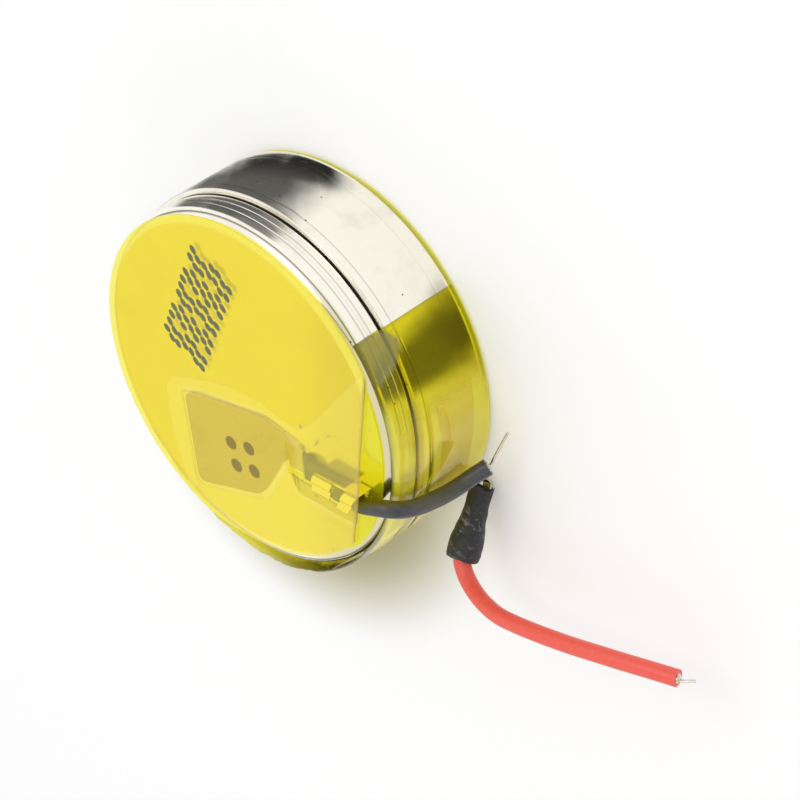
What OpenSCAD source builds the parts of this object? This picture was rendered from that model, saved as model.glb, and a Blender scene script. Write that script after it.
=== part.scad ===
// Rechargeable coin cell with two soldered leads, taped with clear yellow film.
// It lies on its back face: +Z runs out of the front face, and +X points to the side where the leads leave.

/* [Cell] */
// Outer diameter of the can
cell_d = 16.1; // [15.8:0.1:24.5]
// Height of the bare cell, from the can's base to the lid's face
cell_h = 5.4; // [4.4:0.1:7.7]
// Height of the lid that shows above the can's cut edge
lid_show_h = 1.55; // [1.2:0.05:2]
// Distance from the can's wall in to the part of the lid that shows
lid_setback = 0.2; // [0.1:0.01:0.3]
// Thickness of the can's wall
can_wall = 0.25; // [0.15:0.01:0.3]
// Thickness of the can's base
can_base_t = 0.25; // [0.15:0.01:0.4]
// Radius round the can's back corner
can_corner_r = 0.5; // [0.3:0.05:0.6]
// Height over which the can's wall draws in to its cut edge
can_neck_h = 0.7; // [0.3:0.05:1]
// Amount by which the can's wall draws in there
can_neck_in = 0.06; // [0.02:0.01:0.1]
// Thickness of the lid's sheet
lid_wall = 0.2; // [0.12:0.01:0.25]
// Outer radius round the lid's shoulder
lid_shoulder_r = 0.45; // [0.3:0.05:0.6]
// Slit between the can's cut edge and the lid's bulge
edge_gap = 0.1; // [0.05:0.01:0.2]

/* [Seal and contents] */
// Thickness of the seal between the two cups
seal_t = 0.15; // [0.1:0.01:0.2]
// Height of the seal's foot under the lid's edge
seal_foot_h = 0.2; // [0.1:0.01:0.3]
// Height of the seal's inner lip above the foot
seal_lip_h = 0.8; // [0.4:0.05:1.2]
// Gap between the wound electrodes and the seal
winding_gap = 0.1; // [0.08:0.01:0.2]
// Diameter of the hole through the winding
winding_core_d = 1.6; // [1:0.1:2.5]
// Thickness of each insulating disc
insulator_t = 0.1; // [0.05:0.01:0.2]
// Thickness of each inner foil tab
foil_t = 0.06; // [0.04:0.01:0.07]
// Width of each inner foil tab
foil_w = 2.5; // [1.5:0.1:4]
// Length of the foil that runs down the winding's side
foil_leg_h = 1.2; // [0.6:0.1:2]

/* [Films] */
// Thickness of the yellow film
film_t = 0.06; // [0.03:0.01:0.1]
// Distance from the can's wall in to the front film's edge
front_film_in = 0.3; // [0.2:0.05:0.6]
// Distance from the can's wall in to the front film's straight cut
front_cut_in = 1.65; // [1.5:0.05:2.2]
// Distance from the can's wall in to the edge of the film under the negative lead
under_film_in = 0.5; // [0.4:0.05:0.8]
// Gap round the negative tab in that film
window_gap = 0.3; // [0.1:0.05:0.6]
// Distance by which the back film stands out past the can
back_film_out = 0.15; // [0.05:0.05:0.3]
// Distance from the can's wall in to the back film's adhesive
back_glue_in = 0.6; // [0.6:0.05:1]
// Angle at which the wrap film starts, from +X
wrap_from = 45; // [20:1:60]
// Angle that the wrap film covers, clockwise from there
wrap_sweep = 195; // [170:1:240]
// Gap from the can's base to the wrap film's back edge
wrap_low = 0.04; // [0.02:0.01:0.3]
// Height that the wrap film leaves bare below the lid's face
wrap_bare = 0.3; // [0.2:0.05:0.6]
// Gap from the lid's wall out to the wrap film's front edge
wrap_stand = 0.06; // [0.03:0.01:0.12]
// Distance by which the wrap film's front edge flares out, at most
wrap_flare = 0.55; // [0.2:0.05:0.8]

/* [Tabs] */
// Thickness of the nickel sheet
tab_t = 0.1; // [0.08:0.01:0.15]
// Distance from the can's wall in to the start of the crimp
crimp_in = 3.7; // [3.5:0.1:4]
// Rounding of the negative tab's corners
tab_corner_r = 0.5; // [0.2:0.05:0.6]
// Distance between weld spots
weld_pitch = 1.06; // [0.9:0.02:1.3]
// Diameter of a weld spot
weld_d = 0.58; // [0.4:0.02:0.8]
// Depth of a weld spot
weld_depth = 0.03; // [0.01:0.01:0.05]
// Height of the hump in the tab's neck
neck_rise = 0.24; // [0.1:0.02:0.4]
// Width of the neck and of the crimp's floor
crimp_w = 0.9; // [0.7:0.05:1.2]
// Length of the wings that grip the bare strands
strand_wing_l = 1; // [0.6:0.05:1.1]
// Length of the wings that grip the insulation
grip_wing_l = 1.1; // [0.8:0.05:1.2]
// Width of the positive tab
back_tab_w = 2; // [1.5:0.1:3]
// Length of the positive tab's wide part
back_tab_l = 6.6; // [5:0.1:7]
// Width of the tongue that the positive lead is soldered to
tongue_w = 0.4; // [0.3:0.05:0.6]

/* [Leads] */
// Diameter over a lead's insulation
lead_d = 0.7; // [0.6:0.05:0.8]
// Diameter of the bundle of strands
bundle_d = 0.4; // [0.3:0.02:0.44]
// Diameter of one loose strand
strand_d = 0.12; // [0.08:0.01:0.16]
// Gap between the strands and the insulation's bore
bundle_gap = 0.02; // [0.02:0.01:0.05]
// Gap from the can's wall to the black lead where it runs down
lead_gap = 0.12; // [0.12:0.01:0.3]
// Gap between a lead and the wings or the sleeve round it
grip_gap = 0.02; // [0.02:0.01:0.05]

/* [Sleeve] */
// Length of the heat-shrink sleeve
sleeve_l = 2.8; // [2.5:0.1:3.4]
// Wall of the sleeve at its shrunk end
sleeve_wall = 0.08; // [0.06:0.01:0.12]
// Wall of the sleeve at its open mouth
mouth_wall = 0.25; // [0.15:0.01:0.3]
// Gap between the red lead and the sleeve's mouth
mouth_gap = 0.12; // [0.08:0.01:0.2]
// Gap from the can's base up to the sleeve's shrunk end
sleeve_lift = 0.02; // [0.01:0.01:0.3]
// Gap from the can's wall to the sleeve's shrunk end
sleeve_gap = 0.28; // [0.28:0.02:0.6]
// Length of the red insulation inside the sleeve
red_in_sleeve = 1.5; // [1.2:0.1:1.7]
// Thickness of the solder between the strands and the tongue
solder_film = 0.04; // [0.03:0.01:0.08]
// Thickness of the solder over the tongue's edges
solder_cover = 0.04; // [0.02:0.01:0.08]
// Length of the solder
solder_l = 0.8; // [0.5:0.1:0.9]

/* [Hidden] */
$fn = 96;
small = 0.01;
corner_steps = 6;

// Heights of the stack, from the back film's outer face
base_z = film_t + tab_t;
floor_z = base_z + can_base_t;
lid_z = base_z + cell_h;
can_edge_z = lid_z - lid_show_h;
ceiling_z = lid_z - lid_wall;
under_top_z = lid_z + film_t;
front_film_z = lid_z + tab_t;

// Radii from the can inwards
can_r = cell_d / 2;
can_bore_r = can_r - can_wall;
skirt_r = can_bore_r - seal_t;
show_r = can_r - lid_setback;
lip_r = skirt_r - lid_wall - seal_t;
winding_r = lip_r - winding_gap;

// Directions of a vector, and points of an arc
function unit(v) = v / norm(v);
function arc(at, r, from, to) = [
  for (i = [0:corner_steps]) let (a = from + (to - from) * i / corner_steps) at + r * [cos(a), sin(a)]
];

// Can, the deep cup: base, rounded back corner, and wall drawn in a little at its cut edge
module can() {
  color([0.93, 0.91, 0.85])
  rotate_extrude()
  polygon(concat(
    [[0, base_z]],
    arc([can_r - can_corner_r, base_z + can_corner_r], can_corner_r, -90, 0),
    [
      [can_r, can_edge_z - can_neck_h],
      [can_r - can_neck_in, can_edge_z],
      [can_bore_r, can_edge_z],
      [can_bore_r, floor_z],
      [0, floor_z]
    ]
  ));
}

// Lid, the shallow cup upside down in the can: skirt, bulge above the can's edge, shoulder and flat face
bulge_z = can_edge_z + edge_gap;
bulge_step = show_r - skirt_r;
skirt_z = floor_z + seal_foot_h;

module lid() {
  inner_r = max(lid_shoulder_r - lid_wall, small);
  color([0.9, 0.89, 0.85])
  rotate_extrude()
  polygon(concat(
    [
      [skirt_r - lid_wall, skirt_z],
      [skirt_r, skirt_z],
      [skirt_r, bulge_z - bulge_step],
      [show_r, bulge_z]
    ],
    arc([show_r - lid_shoulder_r, lid_z - lid_shoulder_r], lid_shoulder_r, 0, 90),
    [[0, lid_z], [0, ceiling_z]],
    arc([show_r - lid_wall - inner_r, ceiling_z - inner_r], inner_r, 90, 0),
    [
      [show_r - lid_wall, bulge_z + lid_wall / 2],
      [skirt_r - lid_wall, bulge_z - bulge_step + lid_wall / 2]
    ]
  ));
}

// Seal, a moulded ring: a wall between the cups, a foot under the lid's edge and an inner lip
module seal() {
  wall_z = bulge_z - bulge_step - small;
  color([0.16, 0.13, 0.15])
  rotate_extrude()
  polygon([
    [lip_r, floor_z],
    [can_bore_r, floor_z],
    [can_bore_r, wall_z],
    [skirt_r, wall_z],
    [skirt_r, skirt_z],
    [skirt_r - lid_wall, skirt_z],
    [skirt_r - lid_wall, skirt_z + seal_lip_h],
    [lip_r, skirt_z + seal_lip_h]
  ]);
}

// Contents: the rolled electrodes, a disc on each end, and a foil from the roll to each cup
back_insulator_z = floor_z + foil_t;
front_insulator_z = ceiling_z - foil_t - insulator_t;

module ring_solid(r, bore_r, from_z, to_z) {
  translate([0, 0, from_z])
  difference() {
    cylinder(r = r, h = to_z - from_z);
    translate([0, 0, -small]) cylinder(r = bore_r, h = to_z - from_z + 2 * small);
  }
}

module electrode_winding() {
  color([0.28, 0.3, 0.33])
  ring_solid(winding_r, winding_core_d / 2, back_insulator_z + insulator_t, front_insulator_z);
}

module back_insulator() {
  color([0.86, 0.9, 0.93])
  ring_solid(winding_r, winding_core_d / 2, back_insulator_z, back_insulator_z + insulator_t);
}

module front_insulator() {
  color([0.86, 0.9, 0.93])
  ring_solid(winding_r, winding_core_d / 2, front_insulator_z, front_insulator_z + insulator_t);
}

// A foil lies flat between disc and cup as far as the middle, and its leg hugs the side of the roll
module foil(flat_z, leg_z) {
  leg_r = winding_r + (winding_gap - foil_t) / 2;
  half_angle = asin(foil_w / 2 / leg_r);
  translate([0, 0, flat_z])
  intersection() {
    translate([-foil_w / 2, -foil_w / 2, 0]) cube([can_r + foil_w, foil_w, foil_t]);
    cylinder(r = leg_r + foil_t, h = foil_t);
  }
  rotate([0, 0, -half_angle])
  rotate_extrude(angle = 2 * half_angle)
  translate([leg_r, leg_z]) square([foil_t, foil_leg_h]);
}

module positive_foil() {
  color([0.8, 0.81, 0.82])
  rotate([0, 0, lead_angle])
  foil(floor_z, floor_z);
}

module negative_foil() {
  color([0.72, 0.5, 0.32])
  rotate([0, 0, lead_angle + 180])
  foil(ceiling_z - foil_t, ceiling_z - foil_leg_h);
}

// The sleeve's line runs from its shrunk end, near the can's back corner, to its mouth
lead_angle = -23.3;
sleeve_tilt = 56;
sleeve_turn = -78.9;
solder_off = 0.06;
tongue_off = bundle_d / 2 + solder_film + tab_t / 2;
solder_r = solder_cover + max(norm([tongue_off + tab_t / 2 - solder_off, tongue_w / 2]), bundle_d / 2 + solder_off);
sleeve_bore_r = max(solder_off + solder_r, lead_d / 2) + grip_gap;
sleeve_r = sleeve_bore_r + sleeve_wall;
mouth_bore_r = lead_d / 2 + mouth_gap;
mouth_r = mouth_bore_r + mouth_wall;
sleeve_reach = can_r + sleeve_gap + sleeve_r;
sleeve_z = base_z + sleeve_lift + sleeve_r * sin(sleeve_tilt);
sleeve_at = [sleeve_reach * cos(lead_angle), sleeve_reach * sin(lead_angle), sleeve_z];
sleeve_dir = [sin(sleeve_tilt) * cos(sleeve_turn), sin(sleeve_tilt) * sin(sleeve_turn), cos(sleeve_tilt)];
sleeve_down = [cos(sleeve_tilt) * cos(sleeve_turn), cos(sleeve_tilt) * sin(sleeve_turn), -sin(sleeve_tilt)];
sleeve_end = sleeve_at + sleeve_l * sleeve_dir;

module on_sleeve_line() {
  translate(sleeve_at)
  rotate([0, sleeve_tilt, sleeve_turn])
  children();
}

// Back film: it carries its adhesive inside the can's corner, and the positive tab is pressed into that
back_tab_start = can_r - back_glue_in - back_tab_l;

module back_tab_strip(clear, from_z, to_z) {
  high = to_z - from_z;
  rotate([0, 0, lead_angle])
  translate([back_tab_start - clear, 0, from_z]) {
    translate([0, -back_tab_w / 2 - clear, 0]) cube([back_tab_l + 2 * clear, back_tab_w + 2 * clear, high]);
    translate([0, -tongue_w / 2 - clear, 0]) cube([sleeve_reach - back_tab_start, tongue_w + 2 * clear, high]);
  }
}

module back_film() {
  color([0.93, 0.85, 0.25])
  difference() {
    union() {
      cylinder(r = can_r + back_film_out, h = film_t);
      cylinder(r = can_r - back_glue_in, h = base_z);
    }
    back_tab_strip(small, film_t, base_z + small);
  }
}

// Positive tab: a strip on the can's base, and a tail turned up past the corner into the sleeve
back_welds = [[1.05, -0.5], [1.05, 0.5], [2.25, -0.5], [2.25, 0.5]];
tongue_back = 0.35;
tongue_l = sleeve_l - red_in_sleeve - 0.1;
solder_past = 0.05;

module tongue() {
  on_sleeve_line()
  translate([tongue_off - tab_t / 2, -tongue_w / 2, -tongue_back])
  cube([tab_t, tongue_w, tongue_l + tongue_back]);
}

module tab_knee() {
  knee_at = sleeve_at + tongue_off * sleeve_down - tongue_back * sleeve_dir;
  translate([knee_at[0], knee_at[1], film_t])
  cylinder(d = tongue_w - 2 * small, h = max(knee_at[2] - film_t, tab_t));
}

module positive_tab() {
  color([0.83, 0.82, 0.78])
  union() {
    difference() {
      back_tab_strip(0, film_t, base_z);
      rotate([0, 0, lead_angle])
      for (p = back_welds)
        translate([back_tab_start + p[0], p[1], film_t - small]) cylinder(d = weld_d, h = weld_depth + small);
    }
    tongue();
    tab_knee();
  }
}

// Negative tab: a welded plate, a humped neck, and a crimp with two pairs of rolled wings
// Three corners of the plate are given in from the can's wall and by angle, and the others from the crimp's start
crimp_from = [can_r - crimp_in, -1.72];
crimp_turn = 4.4;
crimp_floor_z = under_top_z + tab_t;
crimp_z = crimp_floor_z + lead_d / 2 + grip_gap;
strand_wing_from = 0.1;
grip_wing_from = 1.4;
crimp_l = grip_wing_from + grip_wing_l;
neck_low_from = -1.9;
neck_rise_from = -1.15;
neck_slope = 0.35;
wall_corners = [[3.18, -80], [1.27, -114.9], [4.11, -152.8]];
neck_corners = [[-3.25, 1.07], [-1.3, 0.77], [-1.05, 0.47], [-2.25, -0.63]];
tab_outline = concat(
  [for (p = neck_corners) crimp_from + p],
  [for (p = wall_corners) (can_r - p[0]) * [cos(p[1]), sin(p[1])]]
);
weld_turn = 15;
weld_mid = (tab_outline[3] + tab_outline[4] + tab_outline[5] + tab_outline[6]) / 4 + [0.65, 0.37];

function side_normal(p, q) = let (d = unit(q - p)) [-d[1], d[0]];
function around(list, i) = list[(i + len(list)) % len(list)];
function grown(list, by) = [
  for (i = [0:len(list) - 1])
    let (m = side_normal(around(list, i - 1), list[i]), n = side_normal(list[i], around(list, i + 1)))
      list[i] + by * (m + n) / (1 + m * n)
];
function corner(a, p, b, r) =
  let (u = unit(a - p), v = unit(b - p), t = min(r, norm(a - p) / 2.5, norm(b - p) / 2.5)) [
    for (i = [0:corner_steps])
      let (k = i / corner_steps) (1 - k) * (1 - k) * (p + t * u) + 2 * k * (1 - k) * p + k * k * (p + t * v)
  ];
function rounded(list, r) = [
  for (i = [0:len(list) - 1]) each corner(around(list, i - 1), list[i], around(list, i + 1), r)
];

module on_crimp_line() {
  translate([crimp_from[0], crimp_from[1], 0])
  rotate([0, 0, crimp_turn])
  children();
}

module neck() {
  top_z = lid_z + neck_rise;
  rise_to = neck_rise_from + neck_slope;
  fall_from = -neck_slope;
  low_side = [
    [neck_low_from, lid_z], [neck_rise_from, lid_z], [rise_to, top_z], [fall_from, top_z],
    [0, under_top_z], [crimp_l, under_top_z]
  ];
  translate([0, crimp_w / 2, 0])
  rotate([90, 0, 0])
  linear_extrude(crimp_w)
  polygon(concat(low_side, [for (i = [len(low_side) - 1:-1:0]) low_side[i] + [0, tab_t]]));
}

// Two lobes side by side, rolled from the sheet over what they grip
function lobe_r(grip_d) = 0.8 * (grip_d / 2 + grip_gap + tab_t);
function lobe_off(grip_d) = 0.55 * lobe_r(grip_d);

module wings(from, length, grip_d) {
  bore_r = grip_d / 2 + grip_gap;
  foot_w = 0.6 * crimp_w;
  translate([from, 0, crimp_z])
  rotate([90, 0, 90])
  difference() {
    linear_extrude(length)
    union() {
      circle(r = bore_r + tab_t);
      for (side = [-1, 1]) translate([side * lobe_off(grip_d), 0.35 * lobe_r(grip_d)]) circle(r = lobe_r(grip_d));
      translate([-foot_w / 2, crimp_floor_z - crimp_z - small]) square([foot_w, crimp_z - crimp_floor_z]);
    }
    translate([0, 0, -small]) cylinder(r = bore_r, h = length + 2 * small);
  }
}

module negative_tab() {
  color([0.83, 0.8, 0.66])
  union() {
    difference() {
      translate([0, 0, lid_z]) linear_extrude(tab_t) polygon(rounded(tab_outline, tab_corner_r));
      for (x = [-0.5, 0.5], y = [-0.5, 0.5])
        translate([weld_mid[0], weld_mid[1], lid_z + tab_t - weld_depth])
        rotate([0, 0, weld_turn])
        translate([x * weld_pitch, y * weld_pitch, 0])
        cylinder(d = weld_d, h = tab_t);
    }
    on_crimp_line() {
      neck();
      wings(strand_wing_from, strand_wing_l, bundle_d);
      wings(grip_wing_from, grip_wing_l, lead_d);
    }
  }
}

// Film under the negative lead, with a window cut round the tab and its neck
module under_film() {
  window_z = lid_z - small;
  window_h = film_t + 2 * small;
  color([0.96, 0.96, 0.2])
  difference() {
    translate([0, 0, lid_z]) cylinder(r = can_r - under_film_in, h = film_t);
    translate([0, 0, window_z]) linear_extrude(window_h) polygon(rounded(grown(tab_outline, window_gap), tab_corner_r));
    on_crimp_line()
    translate([neck_low_from, -crimp_w / 2 - window_gap, window_z])
    cube([-neck_low_from - neck_slope, crimp_w + 2 * window_gap, window_h]);
  }
}

// Front film: flat over the tab, with a tent that stands up over the neck and the crimp
tent_gap = 0.05;
tent_from = -1.2;
tent_slope_w = 1;
tent_half_w = lobe_off(lead_d) + lobe_r(lead_d) + tent_gap;
tent_top_z = crimp_z + 0.35 * lobe_r(lead_d) + lobe_r(lead_d) + tent_gap;

module tent(down) {
  low = front_film_z - down;
  high = tent_top_z + film_t - down;
  wide = tent_half_w + tent_slope_w;
  start = tent_from - tent_slope_w;
  end = crimp_l + tent_slope_w;
  points = [
    [start, -wide, low], [end, -wide, low], [end, wide, low], [start, wide, low],
    [tent_from, -tent_half_w, high], [end, -tent_half_w, high], [end, tent_half_w, high], [tent_from, tent_half_w, high]
  ];
  faces = [[0, 1, 2, 3], [7, 6, 5, 4], [4, 5, 1, 0], [5, 6, 2, 1], [6, 7, 3, 2], [7, 4, 0, 3]];
  on_crimp_line() polyhedron(points, faces);
}

module front_film() {
  color([0.95, 0.87, 0.31])
  difference() {
    union() {
      translate([0, 0, front_film_z]) cylinder(r = can_r - front_film_in, h = film_t);
      tent(0);
    }
    tent(film_t);
    translate([can_r - front_cut_in, -cell_d, lid_z]) cube([cell_d, 2 * cell_d, cell_h]);
  }
}

// Faces between rings of points, and the same faces seen from the other side
function skin(rings, sides, start) = [
  for (i = [0:rings - 2], k = [0:sides - 1])
    let (a = start + i * sides, b = a + sides, j = (k + 1) % sides) [a + k, a + j, b + j, b + k]
];
function turned(faces) = [for (f = faces) [for (k = [len(f) - 1:-1:0]) f[k]]];

// Wrap film: it hugs the can's wall, leans in on the lid, and its front edge flares out along one side
wrap_gap = 0.02;
wrap_step = 5;
wrap_rise_steps = 4;
flare_from = -20;
wrap_end = wrap_from - wrap_sweep;
wrap_low_z = base_z + wrap_low;
wrap_top_z = lid_z - wrap_bare;
wrap_rows = concat([0], [for (i = [0:wrap_rise_steps]) i / wrap_rise_steps]);
function wrap_z(k) = k == 0 ? wrap_low_z : can_edge_z + wrap_rows[k] * (wrap_top_z - can_edge_z);
function flare(a) = a > flare_from ? 0 : wrap_flare * pow(sin(180 * (flare_from - a) / (flare_from - wrap_end)), 2);
function wrap_r(a, k) =
  can_r + wrap_gap + pow(wrap_rows[k], 2) * (show_r + wrap_stand + flare(a) - can_r - wrap_gap);
function wrap_point(a, k, out) = [(wrap_r(a, k) + out) * cos(a), (wrap_r(a, k) + out) * sin(a), wrap_z(k)];

module wrap_film() {
  angles = [for (a = [0:wrap_step:wrap_sweep]) wrap_from - a];
  rows = len(wrap_rows);
  loop = 2 * rows;
  points = [
    for (a = angles) each concat(
      [for (k = [0:rows - 1]) wrap_point(a, k, film_t)],
      [for (k = [rows - 1:-1:0]) wrap_point(a, k, 0)])
  ];
  first = [for (k = [0:rows - 2]) [k, k + 1, loop - 2 - k, loop - 1 - k]];
  last = [for (f = turned(first)) [for (k = f) k + (len(angles) - 1) * loop]];
  color([0.8, 0.73, 0.25])
  polyhedron(points, concat(first, turned(skin(len(angles), loop, 0)), last), convexity = 8);
}

// A smooth curve through the points of a lead's route, with rings of points round it
lead_sides = 12;
strand_sides = 8;
route_steps = 2;
function spline(a, b, c, d, t) =
  0.5 * (2 * b + (c - a) * t + (2 * a - 5 * b + 4 * c - d) * t * t + (3 * b - a - 3 * c + d) * t * t * t);
function smooth(list) = let (last = len(list) - 1) concat(
  [for (i = [0:last - 1], k = [0:route_steps - 1])
    spline(list[max(i - 1, 0)], list[i], list[i + 1], list[min(i + 2, last)], k / route_steps)],
  [list[last]]
);
function ring(list, i, r, up, sides) =
  let (t = unit(list[min(i + 1, len(list) - 1)] - list[max(i - 1, 0)]), u = unit(cross(t, up)), v = cross(t, u))
    [for (k = [0:sides - 1]) let (a = 360 * k / sides) list[i] + r * (cos(a) * u + sin(a) * v)];
function rings_of(list, r, up, sides) = [for (i = [0:len(list) - 1]) each ring(list, i, r, up, sides)];

// A solid rod along a route
module rod(route, d, up, sides) {
  list = smooth(route);
  rings = len(list);
  first = [for (k = [sides - 1:-1:0]) k];
  last = [for (k = [0:sides - 1]) (rings - 1) * sides + k];
  polyhedron(rings_of(list, d / 2, up, sides), concat([first], skin(rings, sides, 0), [last]), convexity = 8);
}

// An insulation tube along a route
module tube(route, d, bore_d, up, sides) {
  list = smooth(route);
  rings = len(list);
  inner = rings * sides;
  end = inner - sides;
  first = [for (k = [0:sides - 1]) let (j = (k + 1) % sides) [inner + k, inner + j, j, k]];
  last = [for (k = [0:sides - 1]) let (j = (k + 1) % sides) [end + k, end + j, inner + end + j, inner + end + k]];
  points = concat(rings_of(list, d / 2, up, sides), rings_of(list, bore_d / 2, up, sides));
  faces = concat(skin(rings, sides, 0), turned(skin(rings, sides, inner)), first, last);
  polyhedron(points, faces, convexity = 8);
}

// Black lead: from the crimp over the rim and down beside the can
// Each step is in millimetres from where the lead's middle passes the can's wall, at the crimp's height
crimp_at = [crimp_from[0], crimp_from[1], crimp_z];
crimp_dir = [cos(crimp_turn), sin(crimp_turn), 0];
rim_at = [can_r + lead_gap + lead_d / 2, 0, crimp_z];
black_steps = [
  [-1.14, -1.33, 0], [-0.67, -1.16, -0.05], [-0.34, -1.12, -0.2], [-0.13, -1.22, -0.54], [-0.03, -1.38, -0.99],
  [0, -1.56, -1.54], [0, -1.69, -2.09], [0.03, -1.78, -2.64], [0.1, -1.77, -3.14], [0.2, -1.68, -3.59],
  [0.46, -1.36, -4.13], [0.74, -1.06, -4.59]
];
black_strand = [
  [-0.05, -0.05, 0.08], [0.02, 0.06, -0.1], [0.12, 0.42, -0.22], [0.3, 0.95, -0.3], [0.46, 1.4, -0.36], [0.62, 1.82, -0.4]
];
black_route = concat(
  [for (s = [1.25, 1.9, 2.55]) crimp_at + s * crimp_dir],
  [for (p = black_steps) rim_at + p]
);
black_end = rim_at + black_steps[len(black_steps) - 1];

module black_insulation() {
  color([0.2, 0.2, 0.22])
  tube(black_route, lead_d, bundle_d + 2 * bundle_gap, [0, 1, 0], lead_sides);
}

module black_strands() {
  color([0.75, 0.72, 0.68])
  union() {
    rod(concat([crimp_at, crimp_at + 0.6 * crimp_dir], black_route), bundle_d, [0, 1, 0], lead_sides);
    rod([for (p = black_strand) black_end + p], strand_d, [1, 0, 0], strand_sides);
  }
}

// Red lead: out of the sleeve's mouth and away from the can, in steps from the middle of that mouth
red_steps = [
  [0.2, -0.4, 0.15], [0.66, -0.68, 0.36], [1.3, -0.78, 0.62], [2, -0.74, 0.86], [2.8, -0.64, 1.04], [3.7, -0.46, 1.13],
  [4.7, -0.26, 1.13], [5.7, -0.06, 1.09], [6.7, 0.14, 1.01], [7.7, 0.34, 0.89], [8.7, 0.53, 0.74], [9.7, 0.7, 0.56],
  [10.5, 0.83, 0.4], [11.15, 0.93, 0.27]
];
red_strand = [[-0.12, -0.08, 0.06], [0.1, -0.05, 0.02], [0.3, 0.02, -0.04], [0.5, 0.1, -0.12], [0.68, 0.18, -0.18]];
red_route = concat(
  [for (k = [3:-1:0]) sleeve_end - red_in_sleeve * k / 3 * sleeve_dir],
  [for (p = red_steps) sleeve_end + p]
);
red_end = sleeve_end + red_steps[len(red_steps) - 1];

module red_insulation() {
  color([0.93, 0.27, 0.2])
  tube(red_route, lead_d, bundle_d + 2 * bundle_gap, [0, 0, 1], lead_sides);
}

module red_strands() {
  color([0.75, 0.72, 0.68])
  union() {
    rod(concat([for (s = [0.35, 0.7]) sleeve_at + s * sleeve_dir], red_route), bundle_d, [0, 0, 1], lead_sides);
    rod([for (p = red_strand) red_end + p], strand_d, [0, 0, 1], strand_sides);
  }
}

// Solder round the red lead's strands and the tongue, inside the sleeve
module solder_joint() {
  color([0.78, 0.78, 0.8])
  difference() {
    on_sleeve_line()
    translate([solder_off, 0, tongue_l + solder_past - solder_l])
    cylinder(r = solder_r, h = solder_l);
    tongue();
    on_sleeve_line() cylinder(d = bundle_d + 2 * small, h = sleeve_l);
  }
}

// Heat-shrink sleeve: tight over the joint, wide and lumpy towards its mouth round the red lead
// Each pair gives a share of the sleeve's length, and of the way from its end radius to its mouth radius
sleeve_shape = [[0, 0], [0.18, 0.2], [0.36, 0.1], [0.55, 0.3], [0.75, 0.65], [0.92, 0.95], [1, 1]];

module heat_shrink_sleeve() {
  color([0.13, 0.13, 0.13])
  on_sleeve_line()
  rotate_extrude()
  polygon(concat(
    [for (p = sleeve_shape) [sleeve_r + (mouth_r - sleeve_r) * p[1], sleeve_l * p[0]]],
    [[mouth_bore_r, sleeve_l], [sleeve_bore_r, tongue_l], [sleeve_bore_r, 0]]
  ));
}

can();
lid();
seal();
electrode_winding();
back_insulator();
front_insulator();
positive_foil();
negative_foil();
back_film();
under_film();
front_film();
wrap_film();
positive_tab();
negative_tab();
black_insulation();
black_strands();
red_insulation();
red_strands();
solder_joint();
heat_shrink_sleeve();
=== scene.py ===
"""Looks of a taped rechargeable coin cell with two leads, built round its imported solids."""

import math

import bmesh
import bpy
from mathutils import Matrix, Vector, noise


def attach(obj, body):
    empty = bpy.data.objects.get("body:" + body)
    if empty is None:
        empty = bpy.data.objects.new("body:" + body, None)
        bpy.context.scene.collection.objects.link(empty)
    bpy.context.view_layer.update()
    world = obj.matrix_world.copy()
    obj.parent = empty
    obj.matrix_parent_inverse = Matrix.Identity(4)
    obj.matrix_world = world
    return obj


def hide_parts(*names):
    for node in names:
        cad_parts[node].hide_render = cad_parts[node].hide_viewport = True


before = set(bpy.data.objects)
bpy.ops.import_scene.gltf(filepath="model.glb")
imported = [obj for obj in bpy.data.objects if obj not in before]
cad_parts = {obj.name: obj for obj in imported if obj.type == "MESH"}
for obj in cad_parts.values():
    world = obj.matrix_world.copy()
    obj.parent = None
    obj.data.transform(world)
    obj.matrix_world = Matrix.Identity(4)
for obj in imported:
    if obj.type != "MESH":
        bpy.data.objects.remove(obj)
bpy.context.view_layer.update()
MM = 0.001


# Camera
# The photograph's view. Its turn, place and lens were fitted to the two rims
# of the cell, whose size is known.
camera_data = bpy.data.cameras.new("photo_camera")
camera_data.sensor_width = 36.0
camera_data.lens = 133.2588
camera_data.clip_start = 0.005
camera_data.clip_end = 5.0
camera = bpy.data.objects.new("photo_camera", camera_data)
bpy.context.collection.objects.link(camera)
camera_at = Vector((67.02438796, 72.69772369, 68.25123371))
towards_camera = Vector((0.53389301, 0.62397965, 0.57062041))
picture_right = Vector((0.73021598, 0.0, -0.68321638))
picture_up = Vector((-0.42631311, 0.78144059, -0.45563991))
camera.matrix_world = (
    Matrix.Translation(camera_at * MM)
    @ Matrix((picture_right, picture_up, towards_camera)).transposed().to_4x4()
)
scene = bpy.context.scene
scene.camera = camera
scene.view_settings.view_transform = "Standard"


# Studio
# A plain white table, an even white room and one large soft lamp. The lamp
# stands high on the +Y side, so the soft shadow falls to the picture's foot,
# where a warm shadow is also painted onto the table.
def material(name):
    """A new material with its node tree and its Principled shader."""
    made = bpy.data.materials.new(name)
    made.use_nodes = True
    tree = made.node_tree
    return made, tree, tree.nodes["Principled BSDF"]


def add(tree, kind, **values):
    """A new node. A value goes to the input of that name, or to a property."""
    node = tree.nodes.new(kind)
    for key, value in values.items():
        if key.startswith("set_"):
            setattr(node, key[4:], value)
        else:
            node.inputs[key.replace("_", " ")].default_value = value
    return node


def join(tree, source, target):
    tree.links.new(source, target)


def maths(tree, operation, *values):
    """The result of a Math node on numbers and sockets."""
    node = add(tree, "ShaderNodeMath", set_operation=operation)
    for socket, value in zip(node.inputs, values):
        if isinstance(value, (int, float)):
            socket.default_value = value
        else:
            join(tree, value, socket)
    return node.outputs[0]


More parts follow.
